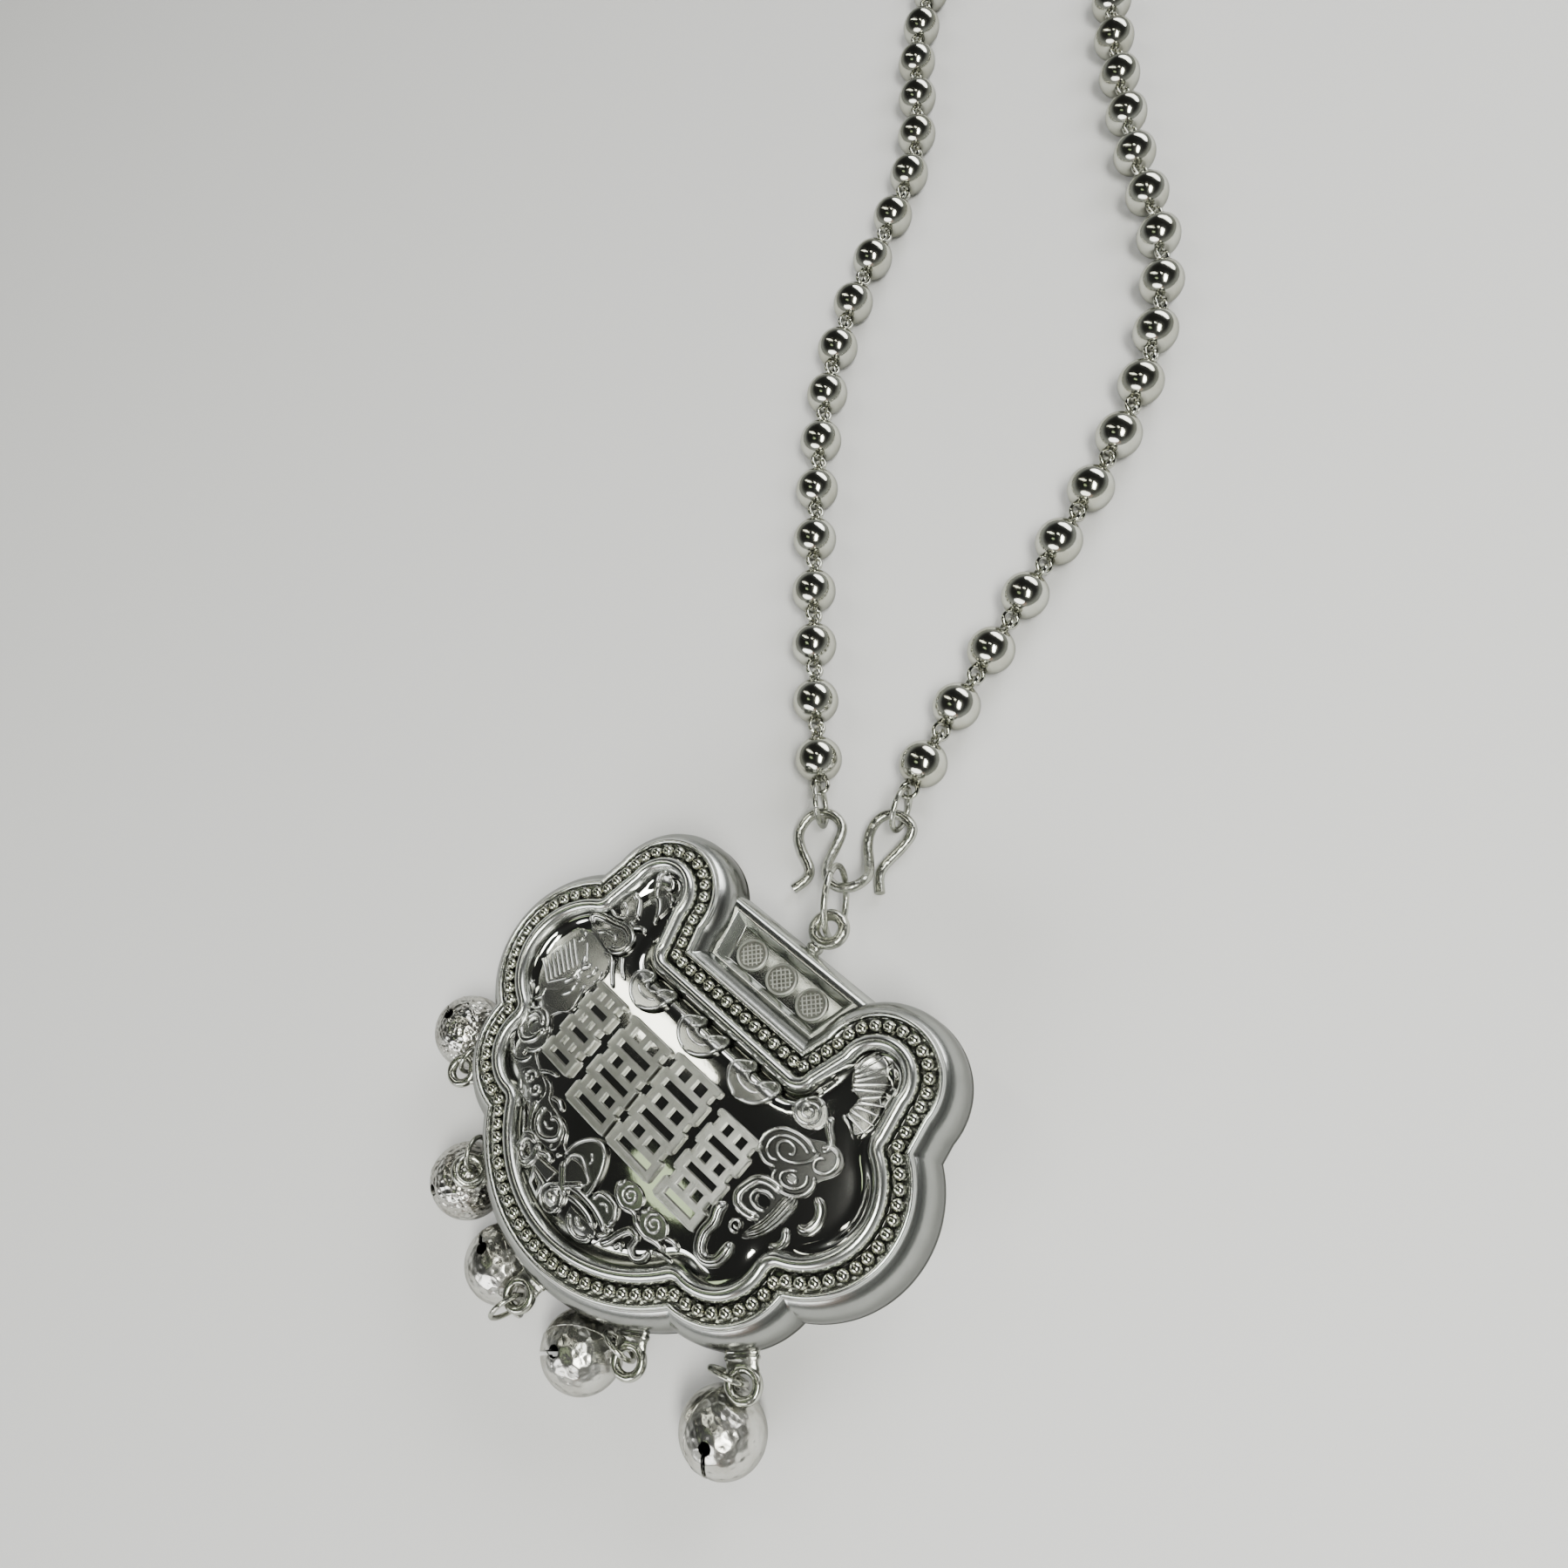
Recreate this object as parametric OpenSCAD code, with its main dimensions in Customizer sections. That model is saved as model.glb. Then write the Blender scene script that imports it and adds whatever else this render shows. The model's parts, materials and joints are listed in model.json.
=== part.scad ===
// Padlock pendant with five bells, hung from a bead chain by a double wire hook.
// It lies on its back: z = 0 is the surface it lies on, x = 0 runs down the middle of the
// lock, y = 0 is the straight top line of its rim beads and the chain runs off towards +y.

/* [Lock] */
// Height of the line of rim beads above the surface
rim_z = 12; // [11:0.5:13]
// Height of the seam where the front shell meets the back shell
seam_z = 7; // [6:0.5:8]
// How far the seam stands out past the line of rim beads
seam_out = 3; // [2.6:0.1:3.2]
// Thickness of the silver sheet
sheet = 0.7; // [0.5:0.1:0.9]
// Height of the domed field at its centre
field_top = 13.7; // [13.2:0.1:14.2]
// How far the cast ornament stands up from the field
relief = 0.6; // [0.4:0.1:0.9]

/* [Bar] */
// Half the length of the bar that joins the two ears
bar_half = 9.2; // [9:0.1:9.3]
// Distance of the bar's back edge from the line of rim beads
bar_y = 8.9; // [8.5:0.1:9]
// Depth of the sunk window in the bar
window_depth = 1.7; // [1:0.1:2.2]
// Radius of each small medallion in the window
medallion_r = 1.55; // [1.3:0.05:1.6]

/* [Bells] */
// Radius of each bell
bell_r = 3.9; // [3.7:0.05:4]
// Thickness of a bell's wall
bell_wall = 0.5; // [0.4:0.05:0.7]
// Width of the slot in a bell
slot_w = 0.5; // [0.4:0.05:0.8]
// Mean radius of the ring that holds a bell
bell_ring_r = 1.7; // [1.65:0.05:1.75]

/* [Rings and hook] */
// Radius of the hook's wire
hook_wire = 0.5; // [0.4:0.05:0.5]
// Mean radius of the ring between the lock and the hook
jump_r = 3.6; // [3.55:0.05:3.65]
// Radius of that ring's wire
jump_wire = 0.33; // [0.25:0.01:0.35]
// Mean radius of the two rings at the ends of the chain
end_ring_r = 2.2; // [2.15:0.05:2.25]
// Radius of their wire
end_ring_wire = 0.3; // [0.25:0.01:0.3]

/* [Chain] */
// Number of beads on the chain
bead_count = 56; // [55:1:57]
// Radius of a bead
bead_r = 2.5; // [2.3:0.05:2.5]
// Mean radius of the small rings on a bead
link_r = 0.85; // [0.8:0.01:0.88]
// Radius of their wire
link_wire = 0.25; // [0.2:0.01:0.26]
// Distance between the centres of two small rings that are linked
link_gap = 0.9; // [0.8:0.01:0.95]

/* [Hidden] */
silver = [0.8, 0.8, 0.78];
$fn = 64;

// Lobes of the line of rim beads: centre x, centre y, radius. Each is mirrored in x.
ear = [14.1, 3.64, 4.55];
side_lobe = [15.15, -6.96, 8.1];
low_lobe = [12.6, -15.35, 6.05];
// The round foot of the lock, centre on x = 0
foot = [0, -12.2, 15.5];

// Heights of the front plate, its outer lip, the moulding inside the beads and the window floor
plate_z = rim_z - 0.6;
lip_z = rim_z - 0.1;
moulding_z = rim_z + 0.7;
bar_top = rim_z - 2.2;
window_z = bar_top - window_depth;
// Offsets from the line of rim beads to the edges of the lip, the moulding and the field
lip_out = 1.3;
lip_in = 0.75;
moulding_out = -0.7;
moulding_in = -2.3;
field_in = -2.2;

// Puffed wall of the lock from the back to the front: height, offset from the rim beads
WALL = [
    [0, seam_out - 2.8], [0.8, seam_out - 2.2], [3.6, seam_out - 1.15], [seam_z, seam_out],
    [rim_z - 2.4, seam_out - 0.4], [plate_z, lip_out]
];
// Inside of the same wall
CAVITY = [
    [sheet, seam_out - 2.4 - sheet], [3.6, seam_out - 1.25 - sheet], [seam_z, seam_out - sheet],
    [rim_z - 2.4, seam_out - 0.6 - sheet]
];

// The field is part of a large ball
field_y = -9.5;
field_r = 67;
field_centre = [0, field_y, field_top - field_r];

// One lobe between two heights, as a truncated cone with the offsets of those heights
module lobe_slab(lobe, lower, upper) {
    translate([lobe.x, lobe.y, lower[0]])
        cylinder(h = upper[0] - lower[0], r1 = lobe[2] + lower[1], r2 = lobe[2] + upper[1]);
}

// Outline of the stem between an ear and the body, and of the straight middle part
function stem(out) = [
    [8.2 - out, -5], [8.45 - out, 0.3], [9.89 - out, 4.67], [18.45 + out, 4.67],
    [19.3 + out, 0.3], [19.3 + out, -5]
];
function middle(out) = [[-11, -14], [-11, out], [11, out], [11, -14]];

// Solid between two flat outlines with the same number of points
module loft(low_points, high_points, low_z, high_z) {
    n = len(low_points);
    polyhedron(
        points = concat([for (p = low_points) [p.x, p.y, low_z]],
                        [for (p = high_points) [p.x, p.y, high_z]]),
        faces = concat([[for (i = [0:n - 1]) i]],
                       [for (i = [0:n - 1]) [i, i + n, (i + 1) % n + n, (i + 1) % n]],
                       [[for (i = [n - 1:-1:0]) i + n]])
    );
}

// Slab of the whole lock between two rows of a wall table
module wall_slab(lower, upper) {
    for (side = [0, 1]) mirror([side, 0, 0]) {
        lobe_slab(ear, lower, upper);
        lobe_slab(side_lobe, lower, upper);
        lobe_slab(low_lobe, lower, upper);
        loft(stem(lower[1]), stem(upper[1]), lower[0], upper[0]);
    }
    lobe_slab(foot, lower, upper);
    loft(middle(lower[1]), middle(upper[1]), lower[0], upper[0]);
}

module wall_stack(rows) {
    for (i = [0:len(rows) - 2]) wall_slab(rows[i], rows[i + 1]);
}

// The flat outline at an offset from the rim beads
module outline(out) {
    for (side = [0, 1]) mirror([side, 0]) {
        for (lobe = [ear, side_lobe, low_lobe]) translate([lobe.x, lobe.y]) circle(lobe[2] + out);
        polygon(stem(out));
    }
    translate([foot.x, foot.y]) circle(foot[2] + out);
    polygon(middle(out));
}

module plate(low_z, high_z, out) {
    translate([0, 0, low_z]) linear_extrude(high_z - low_z) outline(out);
}

// Profiles of the bar and of the hollow in it, across its length, as y and z
bar_low = 2.5;
BAR = [
    [-2, bar_low], [bar_y - 1.9, bar_low], [bar_y - 0.5, bar_low + 1.1], [bar_y, seam_z],
    [bar_y - 1.1, bar_top], [-2, bar_top]
];
BAR_HOLLOW = [
    [-2, bar_low + sheet], [bar_y - 2.2, bar_low + sheet], [bar_y - 1.2, bar_low + 1.5],
    [bar_y - sheet, seam_z - 0.3], [bar_y - sheet, window_z - sheet], [-2, window_z - sheet]
];
bar_hollow_half = 4.6;

module along_x(profile, half) {
    rotate([90, 0, 90]) translate([0, 0, -half]) linear_extrude(2 * half) polygon(profile);
}

// Round medallion with a raised border and a plain lattice
module medallion() {
    height = 0.5;
    line = 0.22;
    difference() {
        cylinder(h = height, r = medallion_r);
        translate([0, 0, height - 0.15]) difference() {
            cylinder(h = 1, r = medallion_r - 0.3);
            for (turn = [0, 90], step = [-0.6, 0, 0.6])
                rotate([0, 0, 45 + turn]) translate([-medallion_r, step - line / 2, -1])
                    cube([2 * medallion_r, line, 3]);
        }
    }
}

// Flat loop soldered on at the seam, with its root a little inside the wall
tab_root = 0.4;
tab_reach = 2.85;
tab_hole = 1;
tab_r = 1.65;
tab_t = 1;
tab_neck = 2.2;
// The five loops: centre and radius of the lobe that carries the loop, its heading from there,
// how far it is bent up, heading and height of the ring in it, heading of the bell from the
// ring, and distance of the bell's eye from the bell's centre
TABS = [
    [[-low_lobe.x, low_lobe.y, low_lobe[2]], -136.5, 0, 90.5, 6.7, 167.2, 4.55],
    [foot, -125, 41, 120.8, 8.34, 251.1, 4.68],
    [foot, -90, 0, 258.6, 6.58, 161.6, 4.68],
    [foot, -55, 0, 178.6, 6.39, 228, 4.95],
    [low_lobe, -43.5, 0, 199.7, 6.51, 296.4, 4.73]
];
function lobe_of(tab) = tab[0];
function tab_heading(tab) = tab[1];
function tab_lift(tab) = tab[2];
function ring_heading(tab) = tab[3];
function ring_height(tab) = tab[4];
function bell_heading(tab) = tab[5];
function eye_reach(tab) = tab[6];

function heading(angle) = [cos(angle), sin(angle)];
function root_place(tab) =
    let (lobe = lobe_of(tab))
    [lobe.x, lobe.y] + (lobe[2] + seam_out - tab_root) * heading(tab_heading(tab));
function loop_place(tab) =
    root_place(tab) + tab_reach * cos(tab_lift(tab)) * heading(tab_heading(tab));

module loop(tab) {
    root = root_place(tab);
    translate([root.x, root.y, seam_z]) rotate([0, -tab_lift(tab), tab_heading(tab)]) difference() {
        union() {
            translate([tab_reach, 0, 0]) cylinder(h = tab_t, r = tab_r, center = true);
            translate([-tab_root / 2, -tab_neck / 2, -tab_t / 2]) cube([tab_reach, tab_neck, tab_t]);
        }
        translate([tab_reach, 0, 0]) cylinder(h = 3 * tab_t, r = tab_hole, center = true);
    }
}

// Bail: a thick ring soldered to the back edge of the bar
bail_y = 11.5;
bail_z = 7.4;
bail_r = 1.45;
bail_wire = 0.58;

module torus(mean_r, wire_r) {
    rotate_extrude() translate([mean_r, 0]) circle(wire_r);
}

module bail() {
    translate([0, bail_y, bail_z]) torus(bail_r, bail_wire);
    translate([0, bar_y + 0.35, bail_z - 0.3]) sphere(0.75);
}

// Comma-shaped cloud: a round head with a hollow and a curled tail
module cloud(size) {
    difference() {
        union() {
            circle(size);
            translate([size * 0.9, -size * 0.5]) circle(size * 0.55);
        }
        translate([size * 0.15, size * 0.2]) circle(size * 0.35);
    }
}

// Small tablet with stepped ends and cut bars
module tablet(width, height, bars) {
    difference() {
        union() {
            square([width, height * 0.7], center = true);
            square([width * 0.6, height], center = true);
        }
        for (i = [0:bars - 1])
            translate([0, (i - (bars - 1) / 2) * height * 0.24])
                square([width * 0.62, height * 0.08], center = true);
    }
}

// Curl: an open ring with a dot in it
module curl(size) {
    difference() {
        circle(size);
        circle(size * 0.68);
    }
    circle(size * 0.36);
}

// Pointed leaf between two arcs
module leaf(length, width) {
    r = (length * length / 4 + width * width / 4) / width;
    intersection() {
        translate([0, r - width / 2]) circle(r);
        translate([0, width / 2 - r]) circle(r);
    }
}

// A ribbed scroll of parallel bars
module scroll(width, height) {
    for (i = [0:4]) translate([(i - 2) * width / 5, 0]) square([width / 7, height], center = true);
    square([width, height * 0.3], center = true);
}

// Layout of the ornament on the field
module ornament() {
    translate([-7.7, -3.9]) rotate(-20) cloud(1.35);
    translate([-0.8, -3.5]) rotate(-20) cloud(1.4);
    translate([5.9, -3.6]) rotate(-20) cloud(1.4);
    translate([-9.8, -9.9]) rotate(-8) tablet(4.2, 4.4, 3);
    translate([-4.2, -12.2]) rotate(6) tablet(4.4, 4.6, 3);
    translate([2.9, -11.9]) rotate(-6) tablet(4.4, 4.8, 2);
    translate([8.2, -9.8]) rotate(8) tablet(3.4, 4.6, 3);
    translate([14.6, -5.2]) curl(2);
    translate([17.3, -5.4]) curl(1.2);
    translate([15.6, -7.9]) curl(1.5);
    translate([11.8, -2.2]) curl(1.3);
    translate([13.3, -10.6]) curl(1.6);
    translate([12.4, -13.4]) curl(1);
    translate([17.4, -11.4]) rotate(70) leaf(3.2, 1.2);
    translate([13.2, -16.8]) rotate(-30) leaf(4, 1.2);
    translate([14.8, 2.4]) rotate(60) leaf(4.2, 2);
    translate([13.6, 5.4]) curl(1.1);
    translate([-16.2, -7.6]) rotate(-12) scroll(3.6, 4);
    translate([-14.7, -2.4]) curl(1.5);
    translate([-12.9, 0]) rotate(30) leaf(3.6, 1.4);
    translate([-13.6, 4.4]) rotate(-60) leaf(4.2, 2);
    translate([-14.6, -13.6]) curl(1.3);
    translate([-9.6, -15.8]) curl(1.5);
    translate([-8.6, -19.2]) rotate(-35) leaf(4, 1.4);
    translate([-4.6, -18.4]) curl(1.5);
    translate([-1.6, -20]) rotate(-50) leaf(3.8, 1.5);
    translate([1.6, -22.4]) rotate(10) leaf(4.4, 1.3);
    translate([1.8, -18]) curl(1.4);
    translate([5.2, -18.6]) curl(1.6);
    translate([8.2, -16.6]) curl(1.2);
    translate([8.6, -20.2]) rotate(35) leaf(4.2, 1.3);
}

module field_ball(rise) {
    translate(field_centre) sphere(field_r + rise, $fn = 96);
}

// The field is a shell over the hollow, with the ornament raised on it
module field() {
    top = field_top + relief + 1;
    low = rim_z - 2.6;
    difference() {
        intersection() {
            plate(low, top, field_in);
            field_ball(0);
        }
        intersection() {
            plate(low - 1, top, field_in - sheet);
            field_ball(-1.3 * sheet);
        }
    }
    intersection() {
        translate([0, 0, low]) linear_extrude(top - low) ornament();
        difference() {
            field_ball(relief);
            field_ball(-sheet / 2);
        }
    }
}

module lock_body() color(silver) {
    difference() {
        union() {
            wall_stack(WALL);
            along_x(BAR, bar_half);
        }
        wall_stack(CAVITY);
        along_x(BAR_HOLLOW, bar_hollow_half);
        plate(rim_z - 2.5, rim_z + 1, field_in);
        translate([0, 0, window_z]) linear_extrude(window_depth + 2)
            polygon([[-6.4, 7], [6.4, 7], [5.2, seam_out + 0.1], [-5.2, seam_out + 0.1]]);
    }
    field();
    difference() {
        plate(plate_z - 0.1, lip_z, lip_out);
        plate(plate_z - 0.2, lip_z + 1, lip_in);
    }
    difference() {
        plate(plate_z - 0.1, moulding_z - 0.4, moulding_out);
        plate(plate_z - 0.2, moulding_z + 1, moulding_in);
    }
    difference() {
        plate(plate_z, moulding_z, moulding_out - 0.35);
        plate(plate_z - 0.2, moulding_z + 1, moulding_in + 0.35);
    }
    for (x = [-4, 0, 4]) translate([x, 4.85, window_z - 0.05]) medallion();
    for (tab = TABS) loop(tab);
    bail();
}

bell_ring_wire = 0.25;
// Ring-shaped eye on a bell, the round cap under it and its play on the ring
eye_r = 0.85;
eye_wire = 0.22;
eye_play = 0.05;
cap_r = 0.8;
cap_h = 0.3;
shank_r = 0.3;
// Round hole where a bell's slot ends, and how far it is set back from the bell's middle
slot_hole = 0.7;
slot_start = 0.45;

function ring_place(tab) = loop_place(tab) + bell_ring_r * heading(ring_heading(tab));
// The eye hangs on the lowest point of its ring, so a higher ring tips the bell up
function bell_tilt(tab) =
    asin((ring_height(tab) - bell_ring_r + eye_play - bell_r) / eye_reach(tab));

// Bell with its eye towards +x: a hollow ball, slotted on the far half
module bell(reach) {
    difference() {
        sphere(bell_r);
        sphere(bell_r - bell_wall);
        translate([-2 * bell_r, -slot_w / 2, -2 * bell_r])
            cube([2 * bell_r - slot_start, slot_w, 4 * bell_r]);
        translate([-slot_start, 0, 0]) cylinder(h = 3 * bell_r, r = slot_hole, center = true);
    }
    translate([reach, 0, 0]) rotate([90, 0, 0]) torus(eye_r, eye_wire);
    translate([bell_r - cap_h + 0.05, 0, 0]) rotate([0, 90, 0]) {
        cylinder(h = cap_h, r = cap_r);
        cylinder(h = reach - eye_r - bell_r + cap_h - 0.05, r = shank_r);
    }
}

module bell_at(i) color(silver) {
    tab = TABS[i];
    tilt = bell_tilt(tab);
    place = ring_place(tab) + eye_reach(tab) * cos(tilt) * heading(bell_heading(tab));
    translate([place.x, place.y, bell_r]) rotate([0, -tilt, bell_heading(tab) + 180])
        bell(eye_reach(tab));
}

module bell_ring(i) color(silver) {
    tab = TABS[i];
    place = ring_place(tab);
    translate([place.x, place.y, ring_height(tab)]) rotate([90, 0, ring_heading(tab)])
        torus(bell_ring_r, bell_ring_wire);
}

// Ring between the bail and the hook, standing on edge
jump_place = [-1.97, 14.04, 5.97];
jump_heading = 122;

module jump_ring() color(silver) {
    translate(jump_place) rotate([90, 0, jump_heading]) torus(jump_r, jump_wire);
}

// Points along the wire hook, from the free end of one arch to the free end of the other
HOOK = [
    [-9, 13.1, 0.6], [-8.6, 14.8, 0.6], [-9.2, 15.9, 0.6], [-11.2, 16.9, 0.8], [-12.5, 18.1, 1.1],
    [-12.7, 20, 1.4], [-11.9, 21.2, 1.4], [-10.7, 21.7, 1.4], [-9.4, 21.5, 1.4], [-8.5, 20.7, 1.6],
    [-7.6, 19, 2.3], [-6.6, 17.1, 3.4], [-5.4, 15.9, 4.2], [-4.1, 15.5, 4.5], [-3.1, 15.8, 4.5],
    [-2.3, 16.7, 4.3], [-2.1, 17.8, 3.9], [-2.6, 18.8, 3.1], [-3.9, 20, 2.2], [-5.4, 21.3, 1.5],
    [-6.2, 22.6, 1.4], [-6.4, 24.2, 1.4], [-5.7, 25.4, 1.4], [-4.5, 25.8, 1.4], [-3.2, 25.6, 1.4],
    [-2.6, 24.8, 1.2], [-2.6, 23.2, 0.9], [-2.9, 20.9, 0.6], [-2.6, 19.6, 0.6], [-1.3, 18.2, 0.6]
];

// Smooth curve through a list of points, with some steps from each point to the next
function blend(a, b, c, d, t) =
    0.5 * (2 * b + (c - a) * t + (2 * a - 5 * b + 4 * c - d) * t * t + (3 * b - a - 3 * c + d) * t * t * t);
function curve(points, steps) =
    let (last = len(points) - 1)
    concat([for (i = [0:last - 1], k = [0:steps - 1])
        let (before = i == 0 ? 2 * points[0] - points[1] : points[i - 1],
             after = i == last - 1 ? 2 * points[last] - points[last - 1] : points[i + 2])
        blend(before, points[i], points[i + 1], after, k / steps)], [points[last]]);
function unit(v) = v / norm(v);

// Round wire swept along a list of points
module wire(points, r, sides) {
    last = len(points) - 1;
    rings = [for (i = [0:last])
        let (along = unit(points[min(i + 1, last)] - points[max(i - 1, 0)]),
             across = unit(cross(along, [0, 0, 1])),
             over = cross(across, along))
        for (k = [0:sides - 1])
            points[i] + r * (cos(360 * k / sides) * across + sin(360 * k / sides) * over)];
    polyhedron(
        points = rings,
        faces = concat(
            [[for (k = [0:sides - 1]) k]],
            [for (i = [0:last - 1], k = [0:sides - 1])
                [i * sides + k, (i + 1) * sides + k, (i + 1) * sides + (k + 1) % sides,
                 i * sides + (k + 1) % sides]],
            [[for (k = [sides - 1:-1:0]) last * sides + k]])
    );
}

module m_hook() color(silver) {
    wire(curve(HOOK, 3), hook_wire, 10);
}

// Rings that join the chain's two ends to the two arches of the hook, standing on edge
END_RING = [[-12, 21.6], [-4.7, 26.1]];
END_HEADING = [133, 110];

module end_ring(i) color(silver) {
    translate([END_RING[i].x, END_RING[i].y, end_ring_r + end_ring_wire + 0.05])
        rotate([90, 0, END_HEADING[i]]) torus(end_ring_r, end_ring_wire);
}

// Route of the chain between the two end rings
ROUTE = [
    [-20, 29.7], [-26, 36], [-34.5, 45.5], [-43.5, 56.4], [-51.5, 68], [-57, 80], [-60.5, 90.5],
    [-65, 100], [-71.3, 107.8], [-78, 115.5], [-83.8, 125.5], [-90, 137], [-97.5, 148],
    [-103.5, 160.5], [-106, 174], [-100.6, 187.1], [-87.5, 192.5], [-74.4, 187.1], [-69, 174],
    [-69, 161.5], [-67, 149], [-62, 137.5], [-54.5, 127], [-46, 117.5], [-36.5, 107.5],
    [-27.5, 99.5], [-20.5, 90], [-15.5, 79], [-12.3, 67], [-10.3, 55], [-8.3, 43], [-6.8, 34]
];
// The route starts and ends where the first and the last small ring hang in an end ring
link_play = 0.08;
function chain_end(i) =
    END_RING[i] + (end_ring_r + link_play - link_gap / 2) * heading(END_HEADING[i]);
path = curve(concat([chain_end(0)], ROUTE, [chain_end(1)]), 10);
function run(points, i = 0, total = 0) =
    i == len(points) - 1 ? [total]
    : concat([total], run(points, i + 1, total + norm(points[i + 1] - points[i])));
lengths = run(path);
path_x = [for (i = [0:len(path) - 1]) [lengths[i], path[i].x]];
path_y = [for (i = [0:len(path) - 1]) [lengths[i], path[i].y]];
pitch = lengths[len(path) - 1] / bead_count;
// A joint is the point midway between two small rings that are linked
function joint(i) = [lookup(i * pitch, path_x), lookup(i * pitch, path_y)];
link_reach = (pitch - link_gap) / 2;

// One bead along x, flat where a small ring is soldered on at each end, with the two rings
// rolled about x
module bead(roll_back, roll_front) {
    flat = link_reach - link_r;
    intersection() {
        rotate([0, 90, 0]) sphere(bead_r, $fn = 48);
        cube([2 * flat, 3 * bead_r, 3 * bead_r], center = true);
    }
    for (end = [[-1, roll_back], [1, roll_front]])
        translate([end[0] * link_reach, 0, 0]) rotate([end[1], 0, 0]) rotate([0, 0, 90])
            torus(link_r, link_wire, $fn = 24);
}

module bead_chain() color(silver) {
    for (i = [0:bead_count - 1]) {
        place = (joint(i) + joint(i + 1)) / 2;
        along = joint(i + 1) - joint(i);
        translate([place.x, place.y, bead_r]) rotate([0, 0, atan2(along.y, along.x)])
            bead(i == 0 ? 0 : 45, i == bead_count - 1 ? 0 : -45);
    }
}

lock_body();
bell_at(0);  // bell_1
bell_at(1);  // bell_2
bell_at(2);  // bell_3
bell_at(3);  // bell_4
bell_at(4);  // bell_5
bell_ring(0);  // bell_ring_1
bell_ring(1);  // bell_ring_2
bell_ring(2);  // bell_ring_3
bell_ring(3);  // bell_ring_4
bell_ring(4);  // bell_ring_5
jump_ring();
m_hook();
end_ring(0);  // end_ring_1
end_ring(1);  // end_ring_2
bead_chain();
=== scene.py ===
"""Padlock pendant with five bells on a bead chain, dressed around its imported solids.

Lengths in the classes are millimetres. They become metres when a mesh is made.
"""

import json
import logging
import math
from dataclasses import dataclass, field
from enum import Enum
from typing import Callable, Optional, Sequence

import bpy
import numpy as np
from mathutils import Matrix, Quaternion, Vector

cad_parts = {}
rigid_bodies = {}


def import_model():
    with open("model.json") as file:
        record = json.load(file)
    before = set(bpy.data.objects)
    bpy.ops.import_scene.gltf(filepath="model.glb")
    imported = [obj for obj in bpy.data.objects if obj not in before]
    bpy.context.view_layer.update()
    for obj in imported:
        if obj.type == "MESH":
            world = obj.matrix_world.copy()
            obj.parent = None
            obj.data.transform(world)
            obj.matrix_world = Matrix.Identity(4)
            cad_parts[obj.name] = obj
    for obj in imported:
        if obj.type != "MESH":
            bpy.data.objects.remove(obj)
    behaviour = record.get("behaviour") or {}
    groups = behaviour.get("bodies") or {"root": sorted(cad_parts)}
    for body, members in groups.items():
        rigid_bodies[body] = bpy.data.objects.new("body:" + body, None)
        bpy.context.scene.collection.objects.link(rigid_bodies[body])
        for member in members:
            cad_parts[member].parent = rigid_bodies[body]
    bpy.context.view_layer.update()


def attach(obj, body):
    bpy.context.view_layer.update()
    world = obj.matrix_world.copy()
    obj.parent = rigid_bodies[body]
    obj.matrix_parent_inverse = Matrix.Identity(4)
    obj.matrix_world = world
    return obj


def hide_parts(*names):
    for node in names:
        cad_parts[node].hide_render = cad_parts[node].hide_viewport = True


LOG = logging.getLogger("pendant")
MM = 0.001
BODY = "root"
# Painted shade on a wire's sides and underside; width of the cut in a wire ring, and sides of its
# wire
WIRE_SIDE_SHADE = 0.8
RING_CUT = 0.1
RING_SIDES = 14
Array = np.ndarray
Object = bpy.types.Object


class Slot(Enum):
    """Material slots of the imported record."""

    CAST = "cast_silver"
    BELL = "bell_silver"
    WIRE = "wire_silver"
    BEAD = "bead_silver"


class Surface(Enum):
    """How the silver of a piece is finished."""

    MIRROR = "mirror_field"
    MOULDED = "moulded_silver"
    RELIEF = "relief_silver"
    FROSTED = "frosted_tablets"
    SHELL = "shell_wall"
    HAMMERED = "hammered_bells"
    POLISHED = "polished_bells"
    WIRE = "drawn_wire"
    BEAD = "polished_beads"


def heading(degrees: float) -> Array:
    """Unit vector in the plane at an angle from +x."""
    turn = math.radians(degrees)
    return np.array([math.cos(turn), math.sin(turn)])


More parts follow.
